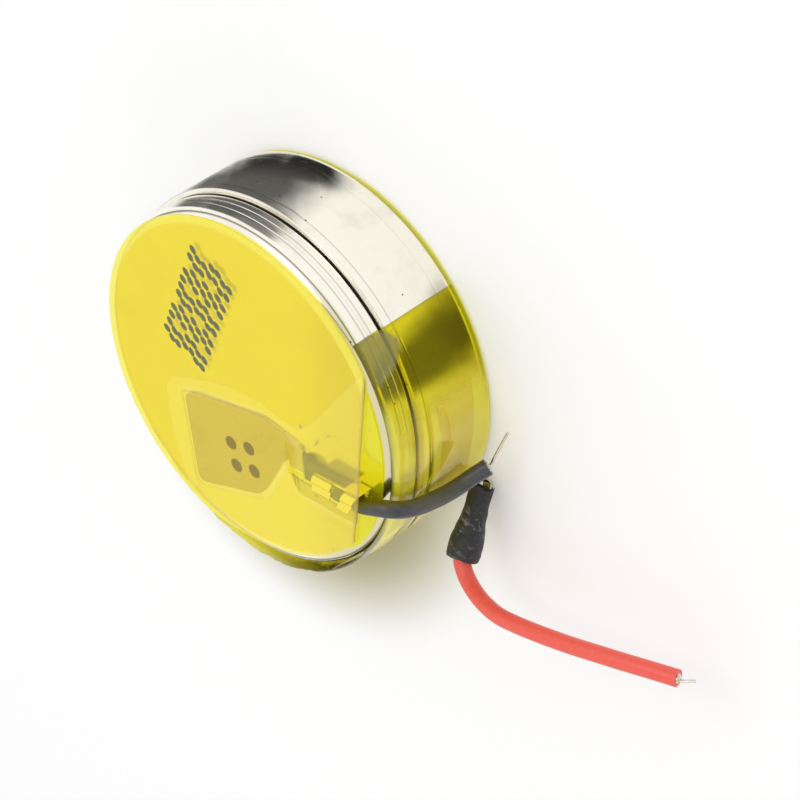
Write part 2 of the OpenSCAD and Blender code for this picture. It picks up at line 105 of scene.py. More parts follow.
def measured(tree, operation, vector, other=(0.0, 0.0, 0.0)):
    """The length, the distance or the dot product of a vector, as a number."""
    node = add(tree, "ShaderNodeVectorMath", set_operation=operation)
    join(tree, vector, node.inputs[0])
    node.inputs[1].default_value = other
    return node.outputs["Value"]


def split(tree, vector):
    """The X, the Y and the Z of a vector."""
    parts = add(tree, "ShaderNodeSeparateXYZ")
    join(tree, vector, parts.inputs[0])
    return tuple(parts.outputs)


def tinted(tree, part, first, second):
    """A colour that goes from first to second with part."""
    node = add(tree, "ShaderNodeMix", set_data_type="RGBA")
    join(tree, part, node.inputs[0])
    for socket, value in ((node.inputs[6], first), (node.inputs[7], second)):
        if isinstance(value, tuple):
            socket.default_value = (*value, 1.0)
        else:
            join(tree, value, socket)
    return node.outputs[2]


def ramp(tree, value, low, high, start=0.0, end=1.0):
    """A value that goes softly from start to end between low and high."""
    node = add(tree, "ShaderNodeMapRange", set_interpolation_type="SMOOTHSTEP")
    names = ("From Min", "From Max", "To Min", "To Max")
    for name, number in zip(names, (low, high, start, end)):
        node.inputs[name].default_value = number
    join(tree, value, node.inputs["Value"])
    return node.outputs["Result"]


def noisy(tree, place, **values):
    """Soft noise over a place, with values for its grain."""
    node = add(tree, "ShaderNodeTexNoise", **values)
    join(tree, place, node.inputs["Vector"])
    return node.outputs["Fac"]


def object_coordinates(tree):
    """The row frame's coordinates on a piece, turned to millimetres."""
    place = add(tree, "ShaderNodeTexCoord")
    mapping = add(tree, "ShaderNodeMapping", Scale=(1 / MM, 1 / MM, 1 / MM))
    join(tree, place.outputs["Object"], mapping.inputs["Vector"])
    return mapping.outputs["Vector"]


def measured_from(tree, place, middle, turn=0.0, halves=(1.0, 1.0)):
    """A place as seen from a middle, turned by degrees and in its own lengths."""
    own = add(tree, "ShaderNodeMapping", set_vector_type="TEXTURE", Location=(*middle, 0.0))
    own.inputs["Rotation"].default_value = (0.0, 0.0, math.radians(turn))
    own.inputs["Scale"].default_value = (*halves, 1.0)
    join(tree, place, own.inputs["Vector"])
    return own.outputs["Vector"]


def ray_is(tree, *kinds):
    """1 for a ray of one of these kinds, and 0 for all others."""
    rays = add(tree, "ShaderNodeLightPath")
    found = rays.outputs[kinds[0]]
    for kind in kinds[1:]:
        found = maths(tree, "MAXIMUM", found, rays.outputs[kind])
    return found


def mesh_from(name, bm):
    mesh = bpy.data.meshes.new(name)
    bm.to_mesh(mesh)
    bm.free()
    return mesh


def link_object(name, data, made):
    piece = bpy.data.objects.new(name, data)
    bpy.context.collection.objects.link(piece)
    for one in made if isinstance(made, list) else [made]:
        data.materials.append(one)
    return piece


WHITE = (1.0, 1.0, 1.0)
ROOM_STRENGTH = 0.86
room = bpy.data.worlds.new("room")
room.use_nodes = True
scene.world = room
tree = room.node_tree
background = tree.nodes["Background"]
background.inputs["Color"].default_value = (*WHITE, 1.0)
direct = ray_is(tree, "Is Camera Ray", "Is Glossy Ray", "Is Transmission Ray")
strength = maths(tree, "MULTIPLY_ADD", direct, 1.0 - ROOM_STRENGTH, ROOM_STRENGTH)
join(tree, strength, background.inputs["Strength"])

TABLE_HALF = 900.0
TABLE_WHITE = 0.88
TABLE_LIFT = 0.16
# The painted shadow on the table: a warm tint, full within the first reach of its middle and gone
# at the second.
SHADE_MIDDLE = (-3.0, -6.4, 0.0)
SHADE_REACH = (6.0, 11.5)
SHADE_WARM = (0.45, 0.42, 0.24)
table_white, tree, shader = material("white_table")
from_shade = measured(tree, "DISTANCE", object_coordinates(tree), SHADE_MIDDLE)
painted_shadow = tinted(tree, ramp(tree, from_shade, *SHADE_REACH, 1.0, 0.0), WHITE, SHADE_WARM)
white = add(tree, "ShaderNodeMix", set_data_type="RGBA", set_blend_type="MULTIPLY")
white.inputs[0].default_value = 1.0
join(tree, painted_shadow, white.inputs[6])
white.inputs[7].default_value = (TABLE_WHITE, TABLE_WHITE, TABLE_WHITE, 1.0)
join(tree, white.outputs[2], shader.inputs["Base Color"])
join(tree, painted_shadow, shader.inputs["Emission Color"])
shader.inputs["Roughness"].default_value = 0.7
shader.inputs["Specular IOR Level"].default_value = 0.1
direct = ray_is(tree, "Is Camera Ray", "Is Glossy Ray")
join(tree, maths(tree, "MULTIPLY", direct, TABLE_LIFT), shader.inputs["Emission Strength"])
bm = bmesh.new()
bmesh.ops.create_grid(bm, x_segments=1, y_segments=1, size=TABLE_HALF * MM)
link_object("table_top", mesh_from("table_top", bm), table_white)

LAMP_AT = (-20, 150, 190)
LAMP_WIDTH = 130
LAMP_POWER = 0.085
lamp_data = bpy.data.lights.new("soft_lamp", "AREA")
lamp_data.shape = "DISK"
lamp_data.size = LAMP_WIDTH * MM
lamp_data.energy = LAMP_POWER
lamp = bpy.data.objects.new("soft_lamp", lamp_data)
bpy.context.collection.objects.link(lamp)
lamp.location = Vector(LAMP_AT) * MM
lamp.rotation_euler = (-lamp.location).to_track_quat("-Z", "Y").to_euler()


def blend_shaders(tree, part, first, second):
    """A surface that goes from the first shader to the second with part."""
    blend = add(tree, "ShaderNodeMixShader")
    join(tree, part, blend.inputs[0])
    join(tree, first.outputs[0], blend.inputs[1])
    join(tree, second.outputs[0], blend.inputs[2])
    join(tree, blend.outputs[0], tree.nodes["Material Output"].inputs["Surface"])


def glossy_only(piece):
    """Keeps a part of the studio for reflections alone, off the object."""
    piece.visible_camera = False
    piece.visible_diffuse = False
    piece.visible_shadow = False
    piece.visible_transmission = False


def band_of_room(name, made, segments, first, second):
    """A band between two circles, each with its radius and its height."""
    bm = bmesh.new()
    bmesh.ops.create_circle(bm, segments=segments, radius=first[0] * MM)
    bmesh.ops.translate(bm, vec=(0, 0, first[1] * MM), verts=bm.verts)
    moved = bmesh.ops.extrude_edge_only(bm, edges=bm.edges[:])
    moved = [v for v in moved["geom"] if isinstance(v, bmesh.types.BMVert)]
    widened = second[0] / first[0]
    bmesh.ops.scale(bm, vec=(widened, widened, 1), verts=moved)
    bmesh.ops.translate(bm, vec=(0, 0, (second[1] - first[1]) * MM), verts=moved)
    glossy_only(link_object(name, mesh_from(name, bm), made))


# A flat ring round the cell with dark patches with smoky edges. Only bright
# metal and gloss see it, and it gives the plated wall its dark reflections.
# Each patch has a centre, two half-lengths and a share.
DARK_PATCHES = [
    ((-6.4, 9.5), (5.2, 3.8), 1.0),
    ((-2.2, 8.8), (2.6, 1.2), 1.0),
    ((-4.5, 13.5), (3.0, 2.0), 0.9),
    ((-9.8, 6.9), (3.4, 3.0), 0.95),
    ((12.2, 4.55), (6.6, 2.15), 0.94),
]
PATCH_EDGE = (0.6, 1.4)
PATCH_SMOKE = 0.35
PATCH_REACH = (8.3, 11.0)
PATCH_GLOW = (0.015, 0.11)
CARD_R = (8.35, 20.0)
CARD_Z = 0.03
card_dark, tree, shader = material("dark_patches")
tree.nodes.remove(shader)
place = object_coordinates(tree)
smoke = noisy(tree, place, Scale=0.9, Detail=4.0)
smoke = maths(tree, "MULTIPLY", maths(tree, "SUBTRACT", smoke, 0.5), PATCH_SMOKE)
cover = None
for middle, halves, share in DARK_PATCHES:
    off = measured(tree, "LENGTH", measured_from(tree, place, middle, halves=halves))
    patch = ramp(tree, maths(tree, "ADD", off, smoke), *PATCH_EDGE, share, 0.0)
    cover = patch if cover is None else maths(tree, "MAXIMUM", cover, patch)
glow = add(tree, "ShaderNodeEmission")
away = measured(tree, "LENGTH", place)
join(tree, ramp(tree, away, *PATCH_REACH, *PATCH_GLOW), glow.inputs["Strength"])
blend_shaders(tree, cover, add(tree, "ShaderNodeBsdfTransparent"), glow)
band_of_room("dark_card", card_dark, 96, (CARD_R[0], CARD_Z), (CARD_R[1], CARD_Z))

# The dim foot of the room's walls, which rounded metal edges mirror as a line.
WALL_R = 700.0
WALL_H = 240.0
WALL_DIM = 0.22
WALL_FADE_FROM = 0.35
wall_dim, tree, shader = material("dim_wall_foot")
tree.nodes.remove(shader)
height = split(tree, object_coordinates(tree))[2]
faded = ramp(tree, height, WALL_FADE_FROM * WALL_H, WALL_H, 1.0, 0.0)
glow = add(tree, "ShaderNodeEmission", Strength=WALL_DIM)
blend_shaders(tree, faded, add(tree, "ShaderNodeBsdfTransparent"), glow)
band_of_room("wall_foot", wall_dim, 128, (WALL_R, 0.0), (WALL_R, WALL_H))

# A long dark shape over the table on the camera's side. The lid's rounded edge
# mirrors it as a line. Each place has its turn round the cell and its rise in
# degrees, and how much it glows.
HOLDER_AWAY = 450.0
HOLDER_HALF = 7.0
HOLDER = [
    (98, 64, 0.5), (75, 60, 0.25), (51, 51, 0.16), (30, 35, 0.08),
    (13, 17, 0.06), (-5, 15, 0.2), (-24, 20, 0.3), (-45, 26, 0.4),
]


def direction(turn, rise=0.0):
    """The direction at a turn round Z and a rise, in degrees."""
    turned, risen = math.radians(turn), math.radians(rise)
    flat = math.cos(risen)
    return Vector((flat * math.cos(turned), flat * math.sin(turned), math.sin(risen)))


def attribute(tree, name):
    """A number that the mesh holds at each vertex."""
    return add(tree, "ShaderNodeAttribute", set_attribute_name=name).outputs["Fac"]


holder_dark, tree, shader = material("dark_holder")
tree.nodes.remove(shader)
glow = add(tree, "ShaderNodeEmission")
join(tree, attribute(tree, "glow"), glow.inputs["Strength"])
cover = ramp(tree, attribute(tree, "cover"), 0.0, 0.8)
blend_shaders(tree, cover, add(tree, "ShaderNodeBsdfTransparent"), glow)
bm = bmesh.new()
glow_mark = bm.verts.layers.float.new("glow")
cover_mark = bm.verts.layers.float.new("cover")
rows = []
for turn, rise, strength in HOLDER:
    row = []
    for k in (-1, 0, 1):
        v = bm.verts.new(direction(turn, rise + k * HOLDER_HALF) * HOLDER_AWAY * MM)
        v[glow_mark] = strength
        v[cover_mark] = 1.0 - abs(k)
        row.append(v)
    rows.append(row)
for one, other in zip(rows, rows[1:]):
    for k in (0, 1):
        bm.faces.new((one[k], one[k + 1], other[k + 1], other[k]))
glossy_only(link_object("dark_holder", mesh_from("dark_holder", bm), holder_dark))


# Can
# The deep cup and positive pole: deep-drawn steel, bright nickel plated. Its
# back corner is rounded, and so is the cut edge of its rim, round the seal.
SAME_PLACE = 0.0005 * MM


def smooth_piece(name, bm, made, replaced, sharp=35.0):
    """A mesh object with smooth faces and sharp edges, riding on the cell."""
    mesh = mesh_from(name, bm)
    for face in mesh.polygons:
        face.use_smooth = True
    mesh.set_sharp_from_angle(angle=math.radians(sharp))
    piece = link_object(name, mesh, made)
    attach(piece, "root")
    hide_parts(*replaced)
    return piece


def turned_bm(profile, steps=256):
    """A closed outline of (radius, height) points in mm, turned round Z."""
    bm = bmesh.new()
    corners = [bm.verts.new((r * MM, 0.0, z * MM)) for r, z in profile]
    for a, b in zip(corners, corners[1:] + corners[:1]):
        bm.edges.new((a, b))
    bmesh.ops.spin(
        bm,
        geom=bm.verts[:] + bm.edges[:],
        cent=(0, 0, 0),
        axis=(0, 0, 1),
        angle=math.tau,
        steps=steps,
        use_merge=True,
    )
    bmesh.ops.remove_doubles(bm, verts=bm.verts, dist=SAME_PLACE)
    bmesh.ops.dissolve_degenerate(bm, edges=bm.edges, dist=SAME_PLACE)
    bmesh.ops.recalc_face_normals(bm, faces=bm.faces)
    return bm


def arc(r, z, radius, start, end, steps=8):
    """Points of an arc round (r, z), in degrees."""
    angles = [math.radians(start + (end - start) * i / steps) for i in range(steps + 1)]
    return [(r + radius * math.cos(a), z + radius * math.sin(a)) for a in angles]


def handling_marks_group():
    """Fine scratches, drawing lines, stains and specks of handled metal."""
    group = bpy.data.node_groups.new("handling_marks", "ShaderNodeTree")
    group.interface.new_socket("Vector", in_out="INPUT", socket_type="NodeSocketVector")
    for name in ("Scratches", "Lines", "Stains", "Specks"):
        group.interface.new_socket(name, in_out="OUTPUT", socket_type="NodeSocketFloat")
    entry = group.nodes.new("NodeGroupInput").outputs["Vector"]
    leave = group.nodes.new("NodeGroupOutput")

    def grain(stretch, **values):
        long = add(group, "ShaderNodeMapping", Scale=stretch)
        join(group, entry, long.inputs["Vector"])
        return noisy(group, long.outputs["Vector"], **values)

    scratches = grain((0.6, 0.6, 6.0), Scale=3.0, Detail=5.0, Roughness=0.75)
    stains = grain((1.0, 1.0, 1.0), Scale=0.55, Detail=4.0, Roughness=0.6)
    dots = add(group, "ShaderNodeTexVoronoi", Scale=1.3, Randomness=1.0)
    join(group, entry, dots.inputs["Vector"])
    specks = ramp(group, dots.outputs["Distance"], 0.03, 0.07, 1.0, 0.0)
    join(group, ramp(group, scratches, 0.6, 0.72), leave.inputs["Scratches"])
    join(group, grain((0.2, 0.2, 11.0), Scale=1.5, Detail=3.0), leave.inputs["Lines"])
    join(group, ramp(group, stains, 0.5, 0.72), leave.inputs["Stains"])
    join(group, specks, leave.inputs["Specks"])
    return group


def relief(tree, shader, height, strength, depth):
    """Fine relief on a surface, with its depth in mm."""
    bump = add(tree, "ShaderNodeBump", Strength=strength, Distance=depth * MM)
    join(tree, height, bump.inputs["Height"])
    join(tree, bump.outputs["Normal"], shader.inputs["Normal"])


handling_marks = handling_marks_group()
SPECK_DARK = (0.05, 0.045, 0.05)
SCRATCH_DULL = 0.2
SHEET_WAVE = 0.02
SHEET_DEPTH = 0.1


def metal(name, colour, stain, rough, stained, lines=0.0, special=None):
    """Plated or plain sheet metal with scratches, faint stains and specks."""
    made, tree, shader = material(name)
    place = object_coordinates(tree)
    marks = tree.nodes.new("ShaderNodeGroup")
    marks.node_tree = handling_marks
    join(tree, place, marks.inputs["Vector"])
    faint = maths(tree, "MULTIPLY", marks.outputs["Stains"], stained)
    shown = tinted(tree, faint, colour, stain)
    if special:
        shown = special(tree, place, shown)
    shown = tinted(tree, marks.outputs["Specks"], shown, SPECK_DARK)
    dulled = ramp(tree, marks.outputs["Scratches"], 0, 1, rough, rough + SCRATCH_DULL)
    join(tree, shown, shader.inputs["Base Color"])
    join(tree, dulled, shader.inputs["Roughness"])
    swell = noisy(tree, place, Scale=0.6, Detail=3.0)
    height = maths(tree, "MULTIPLY_ADD", marks.outputs["Lines"], lines, swell)
    relief(tree, shader, height, SHEET_WAVE, SHEET_DEPTH)
    shader.inputs["Metallic"].default_value = 1.0
    return made


# Rings of painted shade along a cup's drawn wall: their half-widths and their colour.
RING_HALF = (0.012, 0.05)
RING_SHADE = (0.3, 0.26, 0.3)


def groove_shade_rings(lines):
    """Fine rings of painted shade round a drawn cup, each with its height and its share."""
    def special(tree, place, shown):
        height = split(tree, place)[2]
        for line, share in lines:
            off = maths(tree, "ABSOLUTE", maths(tree, "SUBTRACT", height, line))
            shown = tinted(tree, ramp(tree, off, *RING_HALF, share, 0.0), shown, RING_SHADE)
        return shown
    return special


NICKEL = (0.96, 0.93, 0.82)
NICKEL_STAIN = (0.72, 0.66, 0.56)
# The can's wall has rings of painted shade at its grooves.
can_nickel = metal(
    "can_nickel_plate", NICKEL, NICKEL_STAIN, 0.15, 0.4, lines=0.1,
    special=groove_shade_rings([(0.95, 0.12), (3.49, 0.4), (3.96, 0.3)]),
)

CAN_R = 8.05
BASE_Z = 0.13
CORNER_R = 0.28
CAN_EDGE_Z = 3.92
CAN_EDGE_R = 0.06
can_outline = (
    [(0.0, BASE_Z)]
    + arc(CAN_R - CORNER_R, BASE_Z + CORNER_R, CORNER_R, -90, 0)
    + [(CAN_R, 0.43), (CAN_R, 0.86), (CAN_R, 0.88), (CAN_R - 0.008, 0.93), (CAN_R - 0.008, 0.97)]
    + [(CAN_R, 1.02), (CAN_R, 1.04), (CAN_R, 3.42), (CAN_R, 3.44), (CAN_R - 0.01, 3.49)]
    + [(CAN_R, 3.54), (CAN_R, 3.56), (CAN_R, 3.8), (CAN_R, 3.82)]
    + arc(CAN_R - CAN_EDGE_R, CAN_EDGE_Z - CAN_EDGE_R, CAN_EDGE_R, 0, 90, 4)
    + [(7.84, CAN_EDGE_Z), (7.80, CAN_EDGE_Z - 0.04), (7.80, 0.41), (0.0, 0.41)]
)
can = smooth_piece("can_shell", turned_bm(can_outline), can_nickel, ["can"])


# Seal
# The moulded ring between the two cups. Only a thin dark line of it shows in
# the slit above the can's rim.
def plastic(name, colour, rough, grain, depth=0.1, special=None):
    """Moulded or extruded plastic with a fine mottled surface."""
    made, tree, shader = material(name)
    place = object_coordinates(tree)
    mottle = noisy(tree, place, Scale=grain, Detail=4.0)
    dark = tuple(c * 0.82 for c in colour)
    pale = tuple(min(c * 1.15, 1.0) for c in colour)
    shown = tinted(tree, mottle, dark, pale)
    if special:
        shown = special(tree, place, shown)
    join(tree, shown, shader.inputs["Base Color"])
    join(tree, ramp(tree, mottle, 0, 1, rough - 0.08, rough + 0.08), shader.inputs["Roughness"])
    relief(tree, shader, mottle, depth, 0.05)
    return made


def dress(node_name, made):
    """Gives a CAD node that stays in view its material."""
    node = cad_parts[node_name]
    node.data.materials.clear()
    node.data.materials.append(made)


dress("seal", plastic("moulded_seal", (0.035, 0.022, 0.032), 0.45, 2.0))


# Lid
# The shallow cup and negative pole, upside down in the can. Its drawn wall
# keeps two fine grooves, and its shoulder is rounded.
LID_Z = 5.553
LID_R = 7.85
GROOVE_R = LID_R - 0.01
SHOULDER_R = 0.45
lid_outline = (
    [(7.45, 0.61), (7.65, 0.61), (7.65, 3.88), (LID_R - 0.03, 4.04)]
    + [(LID_R, 4.09), (LID_R, 4.11), (LID_R, 4.35), (LID_R, 4.37), (GROOVE_R, 4.4)]
    + [(GROOVE_R, 4.43), (LID_R, 4.46), (LID_R, 4.48), (LID_R, 4.69), (LID_R, 4.71)]
    + [(GROOVE_R, 4.75), (GROOVE_R, 4.79), (LID_R, 4.83), (LID_R, 4.85), (LID_R, 5.07)]
    + arc(LID_R - SHOULDER_R, LID_Z - SHOULDER_R, SHOULDER_R, 0, 90, 10)
    + [(0.0, LID_Z), (0.0, 5.36)]
    + arc(7.4, 5.11, 0.25, 90, 0, 4)
    + [(7.65, 4.16), (7.45, 3.96)]
)
# The lid's wall has rings of painted shade along its drawn wall.
lid_groove_shade = groove_shade_rings([(4.42, 0.45), (4.77, 0.5), (4.6, 0.12)])
# The shoulder's painted reflection: its heights, its reach towards the lead's side and its
# colour.
TINT_ABOVE = (5.1, 5.25)
TINT_BEYOND = (2.6, 5.6)
SHOULDER_REFLECTION_TINT = (0.72, 0.67, 0.42)


def lid_painted_shading(tree, place, shown):
    """Painted shade at the drawn wall's grooves, and a painted dimmer, yellower reflection on the
    shoulder at the lead's side.
    """
    across, _, height = split(tree, place)
    # The share of the shoulder that has the painted dimmer, yellower reflection.
    dull = maths(
        tree, "MULTIPLY", ramp(tree, height, *TINT_ABOVE), ramp(tree, across, *TINT_BEYOND),
    )
    return tinted(tree, dull, lid_groove_shade(tree, place, shown), SHOULDER_REFLECTION_TINT)


lid_nickel = metal(
    "lid_nickel_plate", NICKEL, NICKEL_STAIN, 0.15, 0.3, lines=0.1, special=lid_painted_shading,
)
lid = smooth_piece("lid_shell", turned_bm(lid_outline), lid_nickel, ["lid"])


# Contents
# What the sealed cups hold: the rolled electrodes, a disc of insulation at
# each end, and a foil from the roll to each cup. None of it shows.
dress("electrode_winding", plastic("rolled_electrodes", (0.05, 0.055, 0.06), 0.5, 6.0))
insulation_disc = plastic("insulation_disc", (0.7, 0.76, 0.8), 0.5, 3.0)
dress("back_insulator", insulation_disc)
dress("front_insulator", insulation_disc)
dress("positive_foil", metal("aluminium_foil", (0.8, 0.8, 0.82), (0.6, 0.6, 0.62), 0.3, 0.2))
dress("negative_foil", metal("copper_foil", (0.8, 0.42, 0.28), (0.5, 0.25, 0.16), 0.3, 0.3))


# Back film
# A disc of clear yellow film stuck over the back face. It was cut by hand a
# little larger than the can, so its edge shows past the rim.
FILM_T = 0.06
FILM_GLOSS = 1.9
FILM_ROUGH = 0.05
FACES_OUT = -0.3


def film(name, tint, body, share, outward=None, marks=()):
    """Clear yellow film. A share of it shows as a body, the rest lets light
    through, tinted at each of its two faces. With outward, a direction, only
    the face on that side has the body. Each mark names an attribute, or gives
    a function of the place, with the body colour there and the share it adds."""
    made, tree, shader = material(name)
    place = object_coordinates(tree)
    shown = tinted(
        tree, noisy(tree, place, Scale=0.35, Detail=3.0),
        tuple(c * 0.95 for c in body), tuple(min(c * 1.05, 1.0) for c in body),
    )
    face = add(tree, "ShaderNodeNewGeometry")
    front = maths(tree, "SUBTRACT", 1.0, face.outputs["Backfacing"])
    if outward:
        lean = measured(tree, "DOT_PRODUCT", face.outputs["True Normal"], outward)
        front = maths(tree, "MULTIPLY", front, maths(tree, "GREATER_THAN", lean, FACES_OUT))
    for mark, colour, more in marks:
        part = mark(tree, place) if callable(mark) else attribute(tree, mark)
        shown = tinted(tree, part, shown, colour)
        share = maths(tree, "MULTIPLY_ADD", part, more, share)
    join(tree, shown, shader.inputs["Base Color"])
    shader.inputs["Roughness"].default_value = FILM_ROUGH
    shader.inputs["IOR"].default_value = FILM_GLOSS
    relief(tree, shader, noisy(tree, place, Scale=0.9, Detail=2.0), 0.02, 0.1)
    clear = add(tree, "ShaderNodeBsdfTransparent", Color=(*tint, 1.0))
    blend_shaders(tree, maths(tree, "MULTIPLY", front, share), clear, shader)
    return made


def soft_step(value, low, high):
    """0 up to low, 1 from high on, and a soft rise between them."""
    t = max(0.0, min(1.0, (value - low) / (high - low)))
    return t * t * (3 - 2 * t)


BACK_FILM_R = 8.03
BACK_FILM_EDGE = 7.9
BACK_FILM_TRIM = 0.08
BACK_FILM_LIFT = 0.05
BACK_FILM_RAGGED = 0.04
TRIMMED_SIDE = (60, 95)
back_yellow = film("back_film_yellow", (0.995, 0.98, 0.6), (1.0, 0.96, 0.1), 0.1)
bm = bmesh.new()
bmesh.ops.create_circle(bm, cap_ends=True, cap_tris=False, segments=360, radius=BACK_FILM_R * MM)
bmesh.ops.inset_region(bm, faces=bm.faces[:], thickness=0.5 * MM)
for v in bm.verts:
    if v.co.xy.length > BACK_FILM_EDGE * MM:
        v.co.z = BACK_FILM_LIFT * MM
        side = math.degrees(math.atan2(v.co.y, v.co.x))
        ragged = noise.noise(Vector((v.co.x, v.co.y, 0.3 * MM)) / (2.6 * MM))
        ragged += 0.5 * noise.noise(Vector((v.co.x, v.co.y, 1.7 * MM)) / (0.9 * MM))
        radius = BACK_FILM_R - BACK_FILM_TRIM * soft_step(side, *TRIMMED_SIDE)
        radius += BACK_FILM_RAGGED * max(-0.6, min(1, ragged))
        v.co.xy = v.co.xy.normalized() * radius * MM
lifted = bmesh.ops.extrude_face_region(bm, geom=bm.faces[:])
lifted = [v for v in lifted["geom"] if isinstance(v, bmesh.types.BMVert)]
bmesh.ops.translate(bm, verts=lifted, vec=(0, 0, FILM_T * MM))
bmesh.ops.recalc_face_normals(bm, faces=bm.faces)
back_film = smooth_piece("back_film_disc", bm, back_yellow, ["back_film"])


# Positive tab
# A nickel strip spot-welded to the can's base under the back film. Its narrow
# tail turns up beside the can into the sleeve.
dress("positive_tab", metal("tab_nickel", (0.74, 0.7, 0.6), (0.5, 0.44, 0.34), 0.25, 0.5))


# Under film
# The first film on the front face, with a window round the negative tab, cut
# back in short straight snips along the lower side. It shows bright lemon past
# the front film's straight cut.
UP = (0.0, 0.0, 1.0)
CRIMP_AT = (4.35, -1.72)
CRIMP_TURN = 4.4
STRIP_NEAR = (0.3, 0.4)
STRIP_FAR = (0.45, 0.62)
STRIP_TAPER = 0.26
STRIP_START = (-1.0, -0.7)
STRIP_END = (1.3, 1.8)


def painted_crimp_shadow(tree, place):
    """A strip of painted shadow on the under film, along the crimp."""
    along, across, _ = split(tree, measured_from(tree, place, CRIMP_AT, CRIMP_TURN))
    beyond = maths(tree, "MAXIMUM", along, 0.0)
    narrowed = maths(tree, "MULTIPLY_ADD", beyond, STRIP_TAPER, across)
    near, far = ramp(tree, across, *STRIP_NEAR), ramp(tree, narrowed, *STRIP_FAR, 1.0, 0.0)
    start, end = ramp(tree, along, *STRIP_START), ramp(tree, along, *STRIP_END, 1.0, 0.0)
    strip = maths(tree, "MULTIPLY", near, far)
    return maths(tree, "MULTIPLY", strip, maths(tree, "MULTIPLY", start, end))


def cut_off(bm, at, out, filled=True):
    """Cuts away what lies beyond a point in mm, and fills the cut."""
    bmesh.ops.bisect_plane(
        bm,
        geom=bm.verts[:] + bm.edges[:] + bm.faces[:],
        plane_co=at * MM,
        plane_no=out,
        clear_outer=True,
    )
    if filled:
        bmesh.ops.holes_fill(bm, edges=[e for e in bm.edges if e.is_boundary])


# The under film carries a painted shadow strip along the crimp.
under_lemon = film(
    "under_film_lemon", (0.995, 0.985, 0.24), (0.95, 0.94, 0.01), 0.4, UP,
    [(painted_crimp_shadow, (0.1, 0.1, 0.05), 0.6)],
)
UNDER_TRIM = 7.2
UNDER_EASE = 0.4
bm = bmesh.new()
bm.from_mesh(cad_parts["under_film"].data)
bmesh.ops.remove_doubles(bm, verts=bm.verts, dist=SAME_PLACE)
for side in range(-112, -34, 4):
    ease = UNDER_EASE * (soft_step(side, -56, -36) + 1 - soft_step(side, -112, -92))
    out = direction(side)
    cut_off(bm, out * (UNDER_TRIM + ease), out)
bmesh.ops.recalc_face_normals(bm, faces=bm.faces)
under_film = smooth_piece("under_film_sheet", bm, under_lemon, ["under_film"])


# Negative tab
# Nickel sheet: a plate with four weld spots, a humped neck, and a crimp whose
# two pairs of wings are rolled over the strands and over the insulation.
WELD_MIDDLE = (-0.2, -3.405)
WELD_PITCH = 1.06
WELD_TURN = 15.0
WELD_R = 0.29
BURN_MIDDLE = (0.07, 0.045, 0.03)
BURN_RIM = (0.025, 0.018, 0.015)
# Painted shade on the neck and the lower crimp, and a painted yellow reflection on the wing tops
# and the crimp's far end.
NECK_FROM = (3.3, 3.42)
NECK_SHADE = (0.1, 0.1, 0.07)
WINGS_ABOVE = (6.12, 6.22)
WINGS_BEYOND = (5.95, 6.05)
WINGS_REFLECTION = (0.98, 0.9, 0.4)


def weld_burns_and_painted_light(tree, place, shown):
    """Brown weld spots on the plate, painted shade on the neck and lower crimp, and painted
    yellow reflection on the wings.
    """
    offsets = [
        maths(tree, "SUBTRACT", maths(tree, "ABSOLUTE", axis), WELD_PITCH / 2)
        for axis in split(tree, measured_from(tree, place, WELD_MIDDLE, WELD_TURN))[:2]
    ]
    squares = [maths(tree, "MULTIPLY", offset, offset) for offset in offsets]
    away = maths(tree, "SQRT", maths(tree, "ADD", *squares))
    across, _, height = split(tree, place)
    shown = tinted(tree, ramp(tree, across, *NECK_FROM), shown, NECK_SHADE)
    # Where the painted yellow reflection lies: the wing tops and the crimp's far end.
    bright = maths(
        tree, "MAXIMUM", ramp(tree, height, *WINGS_ABOVE), ramp(tree, across, *WINGS_BEYOND),
    )
    shown = tinted(tree, bright, shown, WINGS_REFLECTION)
    burnt = tinted(tree, ramp(tree, away, 0.0, WELD_R), BURN_MIDDLE, BURN_RIM)
    return tinted(tree, ramp(tree, away, WELD_R - 0.02, WELD_R + 0.06, 1.0, 0.0), shown, burnt)


crimp_from = Vector((*CRIMP_AT, 6.09))
crimp_dir = direction(CRIMP_TURN)
crimp_side = Vector((-crimp_dir.y, crimp_dir.x, 0))
FLOOR_Z = (5.61, 5.71)
FLOOR_HALF = 0.45
WALL_T = 0.09
WALL_TOP = 6.22


def add_prism(bm, outline, start, end, start_slant=0.0, end_slant=0.0):
    """A solid with an outline of (across, height) points, run along the crimp."""
    rings = []
    for along, slant in ((start, start_slant), (end, end_slant)):
        rings.append([])
        for t, z in outline:
            place = crimp_from + (along + slant * t) * crimp_dir + t * crimp_side
            rings[-1].append(bm.verts.new(Vector((place.x, place.y, z)) * MM))
    for ring in rings:
        bm.faces.new(ring)
    for i in range(len(outline)):
        bm.faces.new((rings[0][i - 1], rings[0][i], rings[1][i], rings[1][i - 1]))


def lobed(half, radius, top):
    """Two rolled wings in section: straight sides under a pair of round lobes."""
    middle = half - radius
    meet = math.degrees(math.acos(-middle / radius))
    return (
        [(half, FLOOR_Z[0])]
        + arc(middle, top - radius, radius, 0, meet, 12)
        + arc(-middle, top - radius, radius, 180 - meet, 180, 12)[1:]
        + [(-half, FLOOR_Z[0])]
    )


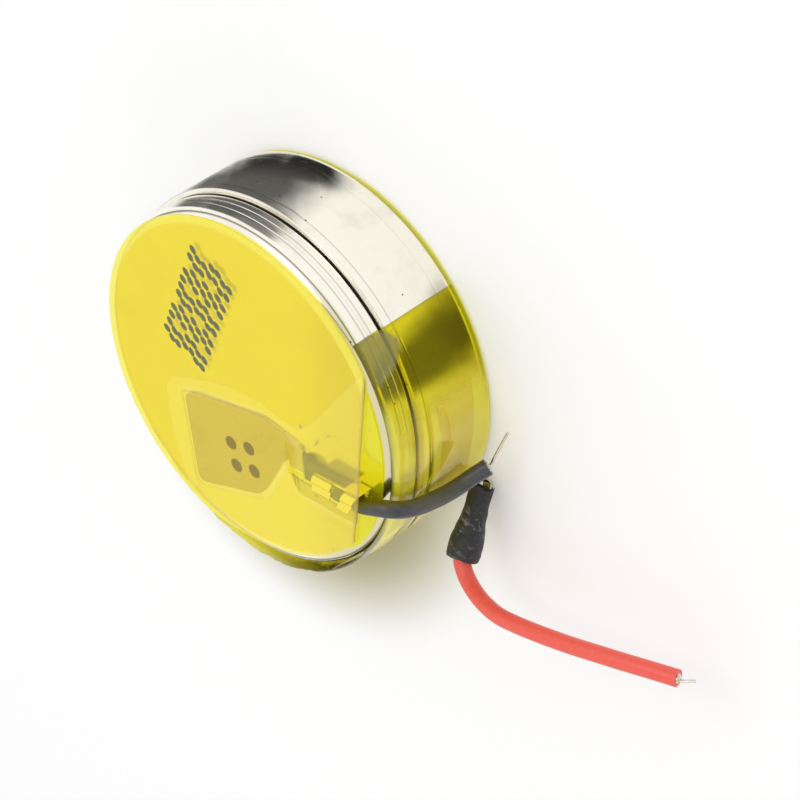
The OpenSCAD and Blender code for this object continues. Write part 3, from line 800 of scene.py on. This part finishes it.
bm = bmesh.new()
bm.from_mesh(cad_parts["negative_tab"].data)
cut_off(bm, crimp_from + 0.03 * crimp_dir, crimp_dir)
low, high = FLOOR_Z
floor = [(-FLOOR_HALF, low), (FLOOR_HALF, low), (FLOOR_HALF, high), (-FLOOR_HALF, high)]
add_prism(bm, floor, 0.0, 2.4)
for side in (-1, 1):
    inner, outer = (FLOOR_HALF - WALL_T) * side, FLOOR_HALF * side
    wall = [(inner, low), (outer, low), (outer, WALL_TOP), (inner, WALL_TOP)]
    add_prism(bm, wall, 1.0, 1.9)
add_prism(bm, lobed(0.45, 0.25, 6.44), 0.12, 1.1, 0.0, 0.15)
add_prism(bm, lobed(0.55, 0.3, 6.6), 1.72, 2.35, 0.45, 0.5)
bmesh.ops.recalc_face_normals(bm, faces=bm.faces)
nickel_sheet = metal(
    "welded_nickel_sheet", (0.64, 0.58, 0.36), (0.5, 0.44, 0.26), 0.16, 0.4, special=weld_burns_and_painted_light,
)
negative_tab = smooth_piece("negative_tab_sheet", bm, nickel_sheet, ["negative_tab"], sharp=20.0)


# Black lead
# Fine tinned strands in soft black insulation, crimped to the tab. It bends
# over the rim and is cut off short beside the can.
LEAD_R = 0.35
BUNDLE_R = 0.2
STRAND_R = 0.062
STRANDS = 6


def add_rod(bm, points, radius, resolution=8, rounding=12):
    """A round rod along a smooth route of points in mm, added to bm."""
    curve = bpy.data.curves.new("rod", "CURVE")
    curve.dimensions = "3D"
    curve.bevel_depth = radius * MM
    curve.bevel_resolution = rounding
    curve.use_fill_caps = True
    line = curve.splines.new("BEZIER")
    line.resolution_u = resolution
    line.bezier_points.add(len(points) - 1)
    for knot, point in zip(line.bezier_points, points):
        knot.co = Vector(point) * MM
        knot.handle_left_type = knot.handle_right_type = "AUTO"
    holder = bpy.data.objects.new("rod", curve)
    bpy.context.collection.objects.link(holder)
    bpy.context.view_layer.update()
    mesh = bpy.data.meshes.new_from_object(holder)
    bpy.data.objects.remove(holder)
    bm.from_mesh(mesh)
    bpy.data.meshes.remove(mesh)


def rods_piece(name, bm, made, replaced):
    """One piece from rods that were added to bm."""
    bmesh.ops.remove_doubles(bm, verts=bm.verts, dist=SAME_PLACE)
    bmesh.ops.recalc_face_normals(bm, faces=bm.faces)
    return smooth_piece(name, bm, made, replaced, sharp=50)


def add_twisted_strands(bm, start, along, length, turns, splay=0.0):
    """Strands twisted round a straight middle one, added to bm."""
    across = along.orthogonal().normalized()
    other = along.cross(across)
    steps = max(3, int(turns * 10))
    ring = BUNDLE_R - STRAND_R
    for strand in range(STRANDS):
        reach = length + splay * noise.noise(Vector((strand * 1.9, length, 0.5)))
        points = []
        for i in range(steps + 1):
            a = math.tau * (strand / STRANDS + turns * i / steps)
            side = ring * (math.cos(a) * across + math.sin(a) * other)
            points.append(start + reach * i / steps * along + side)
        add_rod(bm, points, STRAND_R, resolution=3, rounding=3)
    add_rod(bm, [start, start + length * along], ring, resolution=2, rounding=3)


# Where the black lead gets a painted yellow reflection of the film along one side, and the colour
# it shares with the adhesive at its start.
REFLECTION_SIDE = (-0.426, 0.781, -0.456)
REFLECTION_FROM = -6.98
REFLECTION_ENDS = (8.0, 9.4)
STAIN_ALL_ROUND = (6.6, 7.0)
ADHESIVE_AND_REFLECTION_TINT = (0.09, 0.08, 0.0)


def adhesive_and_painted_reflection(tree, place, shown):
    """Yellow adhesive all round the lead where it leaves the crimp, then a painted yellow
    reflection along one side.
    """
    across = split(tree, place)[0]
    lean = measured(tree, "DOT_PRODUCT", place, REFLECTION_SIDE)
    reflected_side = maths(
        tree, "MULTIPLY",
        ramp(tree, across, *REFLECTION_ENDS, 1.0, 0.0),
        ramp(tree, lean, REFLECTION_FROM - 0.05, REFLECTION_FROM + 0.1),
    )
    all_round = ramp(tree, across, *STAIN_ALL_ROUND, 1.0, 0.0)
    return tinted(tree, maths(tree, "MAXIMUM", reflected_side, all_round), shown, ADHESIVE_AND_REFLECTION_TINT)


black_sheath = plastic("black_sheath", (0.06, 0.06, 0.067), 0.34, 5.0, special=adhesive_and_painted_reflection)
tinned = metal("tinned_copper", (0.78, 0.74, 0.66), (0.55, 0.47, 0.36), 0.25, 0.4)
rim_at = Vector((8.52, 0, 6.09))
BLACK_STEPS = [
    (-1.14, -1.33, 0), (-0.67, -1.16, -0.05), (-0.34, -1.12, -0.2), (-0.13, -1.22, -0.54),
    (-0.03, -1.38, -0.99), (0, -1.56, -1.54), (0, -1.69, -2.09), (0.03, -1.78, -2.64),
    (0.1, -1.77, -3.14), (0.2, -1.68, -3.59), (0.46, -1.36, -4.13), (0.74, -1.06, -4.59),
]
black_route = [crimp_from + s * crimp_dir for s in (1.25, 1.9, 2.55)]
black_route += [rim_at + Vector(p) for p in BLACK_STEPS]
bm = bmesh.new()
add_rod(bm, black_route, LEAD_R)
black_lead = rods_piece("black_sheath", bm, black_sheath, ["black_insulation"])

BLACK_STRAND = [
    (-0.05, -0.05, 0.08), (0.02, 0.06, -0.1), (0.12, 0.42, -0.22), (0.3, 0.95, -0.3),
    (0.46, 1.4, -0.36), (0.62, 1.82, -0.4),
]
black_end = black_route[-1]
black_out = (black_route[-1] - black_route[-2]).normalized()
bm = bmesh.new()
add_rod(bm, black_route, BUNDLE_R)
add_twisted_strands(bm, crimp_from, crimp_dir, 1.35, 0.7)
add_twisted_strands(bm, black_end - 0.1 * black_out, black_out, 0.14, 0.1, 0.05)
add_rod(bm, [black_end + Vector(p) for p in BLACK_STRAND], STRAND_R, rounding=4)
black_core = rods_piece("black_strands", bm, tinned, ["black_strands"])


# Front film
# Clear yellow film over the whole front. It lies flat on the lid and on the
# tab's plate, stands up over the neck and the crimp, and is cut straight near
# the rim. Round the tab it isn't stuck down, and it shows paler there.
FRONT_Z = 5.63
FRONT_ON_TAB = 0.035
FRONT_R = 7.75
FRONT_HALF = 8.0
FRONT_GRID = 190
RIM_SIDES = 120
CUT_TURN = -4.57
CUT_AT = 6.33
LOWER_TRIM = 0.4
RIGHT_REACH = 0.1
CRIMP_TOP = 6.64
TENT_HALF = 0.42
PULLED_OUT = 0.93
WAVER = 0.012
TAB_OUTLINE = [
    (1.1, -0.65), (3.05, -0.95), (3.3, -1.25), (2.1, -2.35),
    (0.85, -4.8), (-2.85, -6.15), (-3.5, -1.8),
]
LOOSE_OUTLINE = [
    (6.7, 4.6), (6.21, 4.02), (4.92, 2.26), (3.75, 0.48), (2.92, -0.13), (2.09, -0.09),
    (0.99, 0.11), (-0.98, -0.1), (-2.15, -0.48), (-4.12, -1.28), (-4.58, -2.05),
    (-4.41, -3.78), (-3.94, -5.65), (-3.1, -7.6), (0.0, -8.2), (4.2, -7.2), (7.2, -4.2),
]
CREASE = [
    (-3.44, -1.74), (-2.4, -1.27), (-1.32, -1.05), (1.19, -0.59), (2.34, -0.8), (3.17, -0.9),
]
DUST = [
    ((4.22, -0.1), 0.07), ((4.28, 0.03), 0.06), ((4.68, 0.44), 0.06), ((4.8, 0.5), 0.05),
    ((3.2, 0.07), 0.11), ((4.63, -3.86), 0.06), ((4.88, -5.29), 0.06), ((3.99, -2.99), 0.09),
]


def from_line(x, y, start, end):
    """Distance in mm from a point to a straight line between two points."""
    run = (end[0] - start[0], end[1] - start[1])
    part = ((x - start[0]) * run[0] + (y - start[1]) * run[1]) / (run[0] ** 2 + run[1] ** 2)
    part = max(0.0, min(1.0, part))
    return math.hypot(x - start[0] - part * run[0], y - start[1] - part * run[1])


def from_outline(x, y, outline):
    """Distance in mm to an outline, below zero inside it."""
    inside = False
    nearest = 99.0
    for start, end in zip(outline, outline[1:] + outline[:1]):
        nearest = min(nearest, from_line(x, y, start, end))
        if (start[1] > y) != (end[1] > y):
            if x < start[0] + (y - start[1]) * (end[0] - start[0]) / (end[1] - start[1]):
                inside = not inside
    return -nearest if inside else nearest


def between(value, rise, fall):
    """1 between two soft edges and 0 outside them."""
    return soft_step(value, *rise) * (1 - soft_step(value, *fall))


def on_crimp(x, y):
    """Place along and across the crimp's line, in mm from its start."""
    dx, dy = x - crimp_from.x, y - crimp_from.y
    return dx * crimp_dir.x + dy * crimp_dir.y, dy * crimp_dir.x - dx * crimp_dir.y


def tent_height(x, y):
    """Height in mm that the film stands up over the neck and the crimp."""
    s, t = on_crimp(x, y)
    slack = 1.05 + 0.9 * soft_step(s, -2.0, 1.0) if t > 0 else 0.5
    across = 1 - soft_step(abs(t), TENT_HALF, TENT_HALF + slack)
    return (CRIMP_TOP - FRONT_Z) * soft_step(s, -2.3, -0.1) * across


def new_marks(bm, *names):
    """Numbers that each vertex holds for the film's material."""
    return [bm.verts.layers.float.new(name) for name in names]


front_yellow = film(
    "front_film_yellow",
    (0.984, 0.947, 0.56),
    (0.93, 0.71, 0.12),
    0.28,
    UP,
    [
        ("loose", (1.0, 0.84, 0.15), 0.1),
        ("rim", (0.97, 0.87, 0.03), 0.45),
        ("over_crimp", (1.0, 0.9, 0.12), -0.05),
        # painted light below the crimp, lifting the tent's shadow there
        ("shadow_fill", (1.0, 0.86, 0.16), 0.3),
        ("dust_and_shade", (0.42, 0.3, 0.06), 0.35),
    # dust specks, and painted shade along the film's cut, crease and loose outline
    ],
)
bm = bmesh.new()
bmesh.ops.create_grid(bm, x_segments=FRONT_GRID, y_segments=FRONT_GRID, size=FRONT_HALF * MM)
out = direction(CUT_TURN)
cut_off(bm, out * CUT_AT, out, filled=False)
for i in range(RIM_SIDES):
    side = 360 * (i + 0.5) / RIM_SIDES - 180
    trimmed = LOWER_TRIM * between(side, (-112, -75), (-36, -16))
    trimmed -= RIGHT_REACH * between(side, (10, 35), (62, 78))
    out = direction(side)
    cut_off(bm, out * (FRONT_R - trimmed), out, filled=False)
cut_x, cut_y = math.cos(math.radians(CUT_TURN)), math.sin(math.radians(CUT_TURN))
loose_mark, rim_mark, crimp_mark, shadow_fill_mark, dust_and_shade_mark = new_marks(
    bm, "loose", "rim", "over_crimp", "shadow_fill", "dust_and_shade",
)
for v in bm.verts:
    x, y = v.co.x / MM, v.co.y / MM
    s, t = on_crimp(x, y)
    up = tent_height(x, y)
    off_tab = from_outline(x, y, TAB_OUTLINE)
    off_loose = from_outline(x, y, LOOSE_OUTLINE)
    off_crease = min(from_line(x, y, a, b) for a, b in zip(CREASE, CREASE[1:]))
    to_cut = CUT_AT - x * cut_x - y * cut_y
    rim = math.hypot(x, y)
    v[loose_mark] = max(
        soft_step(-off_loose, -0.04, 0.1) * soft_step(off_tab, 0.0, 0.12),
        0.2 * soft_step(rim, 7.35, 7.6),
    )
    v[rim_mark] = soft_step(rim, 7.3, 7.5)
    v[crimp_mark] = soft_step(s, -1.8, -1.2) * (1 - soft_step(abs(t), 0.6, 1.1))
    # Painted light on the film below the crimp, where the tent's shadow falls.
    v[shadow_fill_mark] = soft_step(s, -1.9, -0.9) * between(-t, (0.6, 0.9), (1.3, 2.0))
    # Painted shade along the straight cut, the crease and the loose outline, and dark dust
    # specks.
    cut_edge = 0.8 * (1 - soft_step(to_cut, 0.03, 0.17))
    creased = 0.55 * (1 - soft_step(off_crease, 0.02, 0.1))
    loose_edge = 0.12 * (1 - soft_step(abs(off_loose), 0.02, 0.12)) * soft_step(to_cut, 0.1, 0.3)
    dust = [1 - soft_step(math.hypot(x - p[0], y - p[1]), r * 0.5, r + 0.06) for p, r in DUST]
    v[dust_and_shade_mark] = max(cut_edge, creased, loose_edge, *dust)
    waver = WAVER * noise.noise(Vector((x * 0.9, y * 0.9, 0.0))) * soft_step(-off_loose, 0.0, 0.4)
    on_tab = FRONT_ON_TAB * soft_step(0.15 - off_tab, 0.0, 0.2)
    v.co.x += PULLED_OUT * up * (1 - soft_step(to_cut, 0.0, 2.0)) * MM
    v.co.z = (FRONT_Z + max(up, on_tab) + abs(waver)) * MM
bmesh.ops.solidify(bm, geom=bm.faces[:], thickness=-FILM_T * MM)
bmesh.ops.recalc_face_normals(bm, faces=bm.faces)

# The print on the film: five blocks of fine dots, hatched and chequered by
# turns. It shows from above only, and throws no shadow through the film.
DOT_MIDDLE = (-2.4, 2.9)
DOT_TURN = 69.5
DOT_PITCH = (0.235, 0.36)
DOT_HALVES = (0.215, 0.15)
DOT_DEPTH = 0.004
DOT_LIFT = 0.002
DOT_SIDES = 14
DOT_WANDER = 0.03
DOT_ROWS = 7
BLOCKS = 5
BLOCK_COLUMNS = 4
BLOCK_PITCH = 1.14
INK = ((0.115, 0.125, 0.06), (0.16, 0.17, 0.085))
printed_black, tree, shader = material("printed_black")
fade = noisy(tree, object_coordinates(tree), Scale=2.5, Detail=3.0)
join(tree, tinted(tree, fade, *INK), shader.inputs["Base Color"])
shader.inputs["Roughness"].default_value = 0.6
face = add(tree, "ShaderNodeNewGeometry")
sideways = maths(tree, "LESS_THAN", split(tree, face.outputs["True Normal"])[2], 0.5)
hidden = maths(tree, "MAXIMUM", face.outputs["Backfacing"], sideways)
hidden = maths(tree, "MAXIMUM", hidden, ray_is(tree, "Is Shadow Ray"))
blend_shaders(tree, hidden, shader, add(tree, "ShaderNodeBsdfTransparent"))

field_z = FRONT_Z + FILM_T + DOT_LIFT
to_field = Matrix.Translation((DOT_MIDDLE[0] * MM, DOT_MIDDLE[1] * MM, field_z * MM))
to_field = to_field @ Matrix.Rotation(math.radians(DOT_TURN), 4, "Z")
for block in range(BLOCKS):
    for column in range(BLOCK_COLUMNS):
        for row in range(DOT_ROWS):
            hatched = (row + 2 * column) % 4 < 2
            chequered = (row + column) % 2 == 0
            if not (hatched if block % 2 == 0 else chequered):
                continue
            at = Vector((block * 3.1, column * 1.7 + 0.6, row * 2.3 + 0.2))
            wander = Vector([noise.noise(at + Vector((5.3 * k, 0, 0))) for k in range(3)])
            x = (block - (BLOCKS - 1) / 2) * BLOCK_PITCH
            x += (column - (BLOCK_COLUMNS - 1) / 2) * DOT_PITCH[0] + DOT_WANDER * wander.x
            y = (row - (DOT_ROWS - 1) / 2) * DOT_PITCH[1] + DOT_WANDER * wander.y
            spot = Matrix.Translation((x * MM, y * MM, 0))
            spot = spot @ Matrix.Rotation(math.radians(60 + 25 * wander.z), 4, "Z")
            spot = spot @ Matrix.Diagonal((DOT_HALVES[0] * MM, DOT_HALVES[1] * MM, 1, 1))
            dot = bmesh.ops.create_cone(
                bm, cap_ends=True, segments=DOT_SIDES, radius1=1, radius2=1,
                depth=DOT_DEPTH * MM, matrix=to_field @ spot,
            )
            for face in {f for v in dot["verts"] for f in v.link_faces}:
                face.material_index = 1
front_film = smooth_piece("front_film_sheet", bm, [front_yellow, printed_black], ["front_film"])


# Wrap film
# Clear yellow film round the side. It hugs the can, spans the slit to the
# lid, and its front edge flares away, roughly cut, along the lower side.
WRAP_FROM = 42.0
WRAP_SWEEP = 192.0
WRAP_END = WRAP_FROM - WRAP_SWEEP
WRAP_LOW = 0.2
WRAP_HIGH = 5.4
WRAP_R = 8.07
WRAP_LID_R = 7.8
WRAP_GRID = (260, 40)
FLARE_FROM = -20.0
FLARE_OUT = 0.55
TORN_DEPTH = 0.07
STUCK_FROM = (1.05, 1.15)
STUCK_TO = (2.95, 3.1)
DEGREE_MM = 0.14
FREE_OUTLINE = [
    (42.6, 5.5), (42.3, 4.46), (40.4, 3.9), (37.2, 3.6), (34.2, 3.8),
    (30.9, 4.35), (29.0, 4.95), (28.3, 5.5),
]
free_outline = [(degrees * DEGREE_MM, height) for degrees, height in FREE_OUTLINE]


def wrap_flare(angle):
    """How far in mm the front edge stands out at an angle round the cell."""
    if angle > FLARE_FROM:
        return 0.0
    return FLARE_OUT * math.sin(math.pi * (FLARE_FROM - angle) / (FLARE_FROM - WRAP_END)) ** 2


wrap_yellow = film(
    "wrap_film_yellow",
    (0.972, 0.945, 0.22),
    (0.3, 0.26, 0.02),
    0.15,
    marks=[
        ("stuck_down", (0.86, 0.68, 0.07), 0.3),
        ("standing_off", (1.0, 0.9, 0.09), 0.28),
        ("free", (0.27, 0.24, 0.035), 0.45),
        ("front_band", (0.85, 0.8, 0.05), 0.35),
        # painted shade under the flared edge and in the slit
        ("dust_and_shade", (0.09, 0.07, 0.008), 0.65),
    ],
)
bm = bmesh.new()
bmesh.ops.create_grid(bm, x_segments=WRAP_GRID[0], y_segments=WRAP_GRID[1], size=1.0)
stuck_mark, off_mark, free_mark, band_mark, dust_and_shade_mark = new_marks(
    bm, "stuck_down", "standing_off", "free", "front_band", "dust_and_shade",
)
for v in bm.verts:
    angle = WRAP_FROM - WRAP_SWEEP * (v.co.x + 1) / 2
    high = (v.co.y + 1) / 2
    flared = soft_step(-angle, 15, 50)
    torn = noise.noise(Vector((angle * 0.12, 0.4, 0.0)))
    torn += 0.6 * noise.noise(Vector((angle * 0.5, 2.4, 0.0)))
    torn_off = flared * TORN_DEPTH * max(0.0, torn + 0.4)
    z = WRAP_LOW + high * (WRAP_HIGH - WRAP_LOW - torn_off)
    lean = max(0.0, (z - CAN_EDGE_Z) / (WRAP_HIGH - CAN_EDGE_Z))
    r = WRAP_R + lean * lean * (WRAP_LID_R + wrap_flare(angle) - WRAP_R)
    swayed = z + 0.14 * noise.noise(Vector((angle * 0.06, 5.1, 0.0)))
    below = 1 - soft_step(angle, 10, 24)
    hazy = 1 + 0.8 * (1 - soft_step(angle, 2, 10)) + 0.9 * (1 - soft_step(angle, -22, -6))
    v[stuck_mark] = hazy * below * max(
        between(swayed, STUCK_FROM, STUCK_TO),
        between(z, (3.84, 3.9), (4.18, 4.3)),
    )
    v[off_mark] = hazy * below * max(
        1 - soft_step(swayed, *STUCK_FROM),
        soft_step(swayed, *STUCK_TO) * (1 - soft_step(z, 3.35, 3.5)),
        between(z, (3.62, 3.7), (3.85, 3.95)),
        0.8 * soft_step(z, 4.3, 4.45),
    )
    # Where the film stands free of the metal it gets a painted grey-olive tone, for its sheen and
    # the shade below it.
    off_free = from_outline(angle * DEGREE_MM, z, free_outline)
    v[free_mark] = 1 - soft_step(off_free, -0.06, 0.06)
    v[band_mark] = soft_step(z, 5.0, 5.15) * (1 - 0.6 * flared) * soft_step(26 - angle, 0, 8)
    # Painted shade under the flared front edge, along the wrap's starting edge and in the slit on
    # the lower side.
    edge_from, edge_full = 0.975 - 0.09 * flared, 0.99 - 0.05 * flared
    front_edge = (0.75 + 0.25 * flared) * (1 - soft_step(-angle, 60, 100))
    v[dust_and_shade_mark] = max(
        front_edge * soft_step(high + 0.02 * torn * flared, edge_from, edge_full),
        0.35 * (1 - soft_step(WRAP_FROM - angle, 0.1, 0.9)),
        0.6 * soft_step(-angle, 10, 20) * between(z, (3.7, 3.9), (4.2, 4.4)),
    )
    turned = math.radians(angle)
    v.co = Vector((r * math.cos(turned), r * math.sin(turned), z)) * MM
bmesh.ops.recalc_face_normals(bm, faces=bm.faces)
bmesh.ops.solidify(bm, geom=bm.faces[:], thickness=-FILM_T * MM)
bmesh.ops.recalc_face_normals(bm, faces=bm.faces)
wrap_film = smooth_piece("wrap_film_band", bm, wrap_yellow, ["wrap_film"])


# Sleeve
# Black heat-shrink tubing over the soldered joint: tight and roughly cut at
# its lower end, wide and lumpy where it opens round the red lead.
SLEEVE_L = 2.8
SLEEVE_START = -0.22
SLEEVE_SHAPE = [
    (0.5, SLEEVE_START), (0.49, 0.5), (0.53, 1.05), (0.62, 1.6),
    (0.71, 2.05), (0.7, 2.45), (0.67, 2.7), (0.64, 2.8),
]
SLEEVE_BORE = [(0.475, 2.8), (0.47, 2.4), (0.464, 1.2), (0.464, SLEEVE_START)]
SLEEVE_STEPS = 28
SLEEVE_SIDES = 72
SLEEVE_OUTSIDE = 0.48
SLEEVE_LUMP = 0.035
CUT_ROUGH = (0.12, 0.05)
sleeve_tilt = math.radians(56)
sleeve_turn = math.radians(-78.9)
sleeve_at = Vector((8.150, -3.510, 0.631))
sleeve_dir = Vector((
    math.sin(sleeve_tilt) * math.cos(sleeve_turn),
    math.sin(sleeve_tilt) * math.sin(sleeve_turn),
    math.cos(sleeve_tilt),
))
RUBBED_AT = (8.45, -4.6, 2.1)
RUBBED_GREY = (0.24, 0.25, 0.26)


def sleeve_radius(along):
    """Outer radius in mm, smooth between the measured places."""
    for (r0, z0), (r1, z1) in zip(SLEEVE_SHAPE, SLEEVE_SHAPE[1:]):
        if along <= z1:
            return r0 + (r1 - r0) * soft_step(along, z0, z1)
    return SLEEVE_SHAPE[-1][0]


def rubbed_grey(tree, place, shown):
    """Pale smears and rubbed spots on the dull black tubing."""
    smear = noisy(tree, place, Scale=2.2, Detail=5.0, Roughness=0.7, Distortion=1.2)
    near = measured(tree, "DISTANCE", place, RUBBED_AT)
    part = maths(
        tree, "MULTIPLY",
        ramp(tree, smear, 0.53, 0.68, 0.0, 0.75), ramp(tree, near, 0.5, 1.6, 1.0, 0.12),
    )
    return tinted(tree, part, shown, RUBBED_GREY)


sleeve_full = SLEEVE_L - SLEEVE_START
lengths = [SLEEVE_START + sleeve_full * i / SLEEVE_STEPS for i in range(SLEEVE_STEPS + 1)]
outer = [(sleeve_radius(along), along) for along in lengths]
bm = turned_bm(outer + SLEEVE_BORE, SLEEVE_SIDES)
for v in bm.verts:
    place = v.co / MM
    r = place.xy.length
    if r > SLEEVE_OUTSIDE:
        lump = noise.noise(place * 1.7) + 0.5 * noise.noise(place * 4.5)
        v.co.xy *= 1 + SLEEVE_LUMP * lump * soft_step(place.z, 0.0, 0.5) / r
    side = math.atan2(place.y, place.x)
    rough_cut = noise.noise(Vector((math.cos(side), math.sin(side), 0.2)) * 2.2)
    v.co.z += CUT_ROUGH[0] * rough_cut * (1 - soft_step(place.z, 0.0, 0.6)) * MM
    v.co.z += CUT_ROUGH[1] * rough_cut * soft_step(place.z, 2.5, 2.8) * MM
turn = sleeve_dir.to_track_quat("Z", "Y").to_matrix().to_4x4()
bmesh.ops.transform(bm, matrix=Matrix.Translation(sleeve_at * MM) @ turn, verts=bm.verts)
shrink_black = plastic("shrink_black", (0.022, 0.022, 0.022), 0.5, 2.5, 0.25, rubbed_grey)
sleeve = smooth_piece("shrink_sleeve", bm, shrink_black, ["heat_shrink_sleeve"])
dress("solder_joint", metal("bright_solder", (0.75, 0.75, 0.77), (0.5, 0.5, 0.52), 0.25, 0.3))


# Red lead
# The same strands in red insulation. It leaves the sleeve's mouth, rises a
# little and runs out to a square cut with one loose strand.
red_sheath = plastic("red_sheath", (0.98, 0.115, 0.08), 0.34, 5.0)
sleeve_end = sleeve_at + SLEEVE_L * sleeve_dir
RED_STEPS = [
    (0.24, -0.37, 0.13), (0.72, -0.63, 0.33), (1.36, -0.72, 0.58), (2.06, -0.68, 0.82),
    (2.86, -0.59, 1.0), (3.74, -0.39, 1.09), (4.72, -0.19, 1.09), (5.7, 0.01, 1.05),
    (6.7, 0.21, 0.97), (7.7, 0.41, 0.85), (8.7, 0.59, 0.71), (9.7, 0.75, 0.53),
    (10.5, 0.87, 0.38), (11.15, 0.96, 0.26),
]
red_route = [sleeve_end - back * sleeve_dir for back in (1.5, 1.0, 0.5, 0.0)]
red_route += [sleeve_end + Vector(p) for p in RED_STEPS]
bm = bmesh.new()
add_rod(bm, red_route, LEAD_R)
red_lead = rods_piece("red_sheath", bm, red_sheath, ["red_insulation"])

RED_STRAND = [
    (-0.12, -0.08, 0.06), (0.1, -0.05, 0.02), (0.3, 0.02, -0.04),
    (0.5, 0.1, -0.12), (0.68, 0.18, -0.18),
]
red_end = red_route[-1]
red_out = (red_route[-1] - red_route[-2]).normalized()
bm = bmesh.new()
add_rod(bm, [sleeve_at + along * sleeve_dir for along in (0.35, 0.7)] + red_route, BUNDLE_R)
add_twisted_strands(bm, red_end - 0.1 * red_out, red_out, 0.15, 0.1, 0.06)
add_rod(bm, [red_end + Vector(p) for p in RED_STRAND], STRAND_R, rounding=4)
red_core = rods_piece("red_strands", bm, tinned, ["red_strands"])
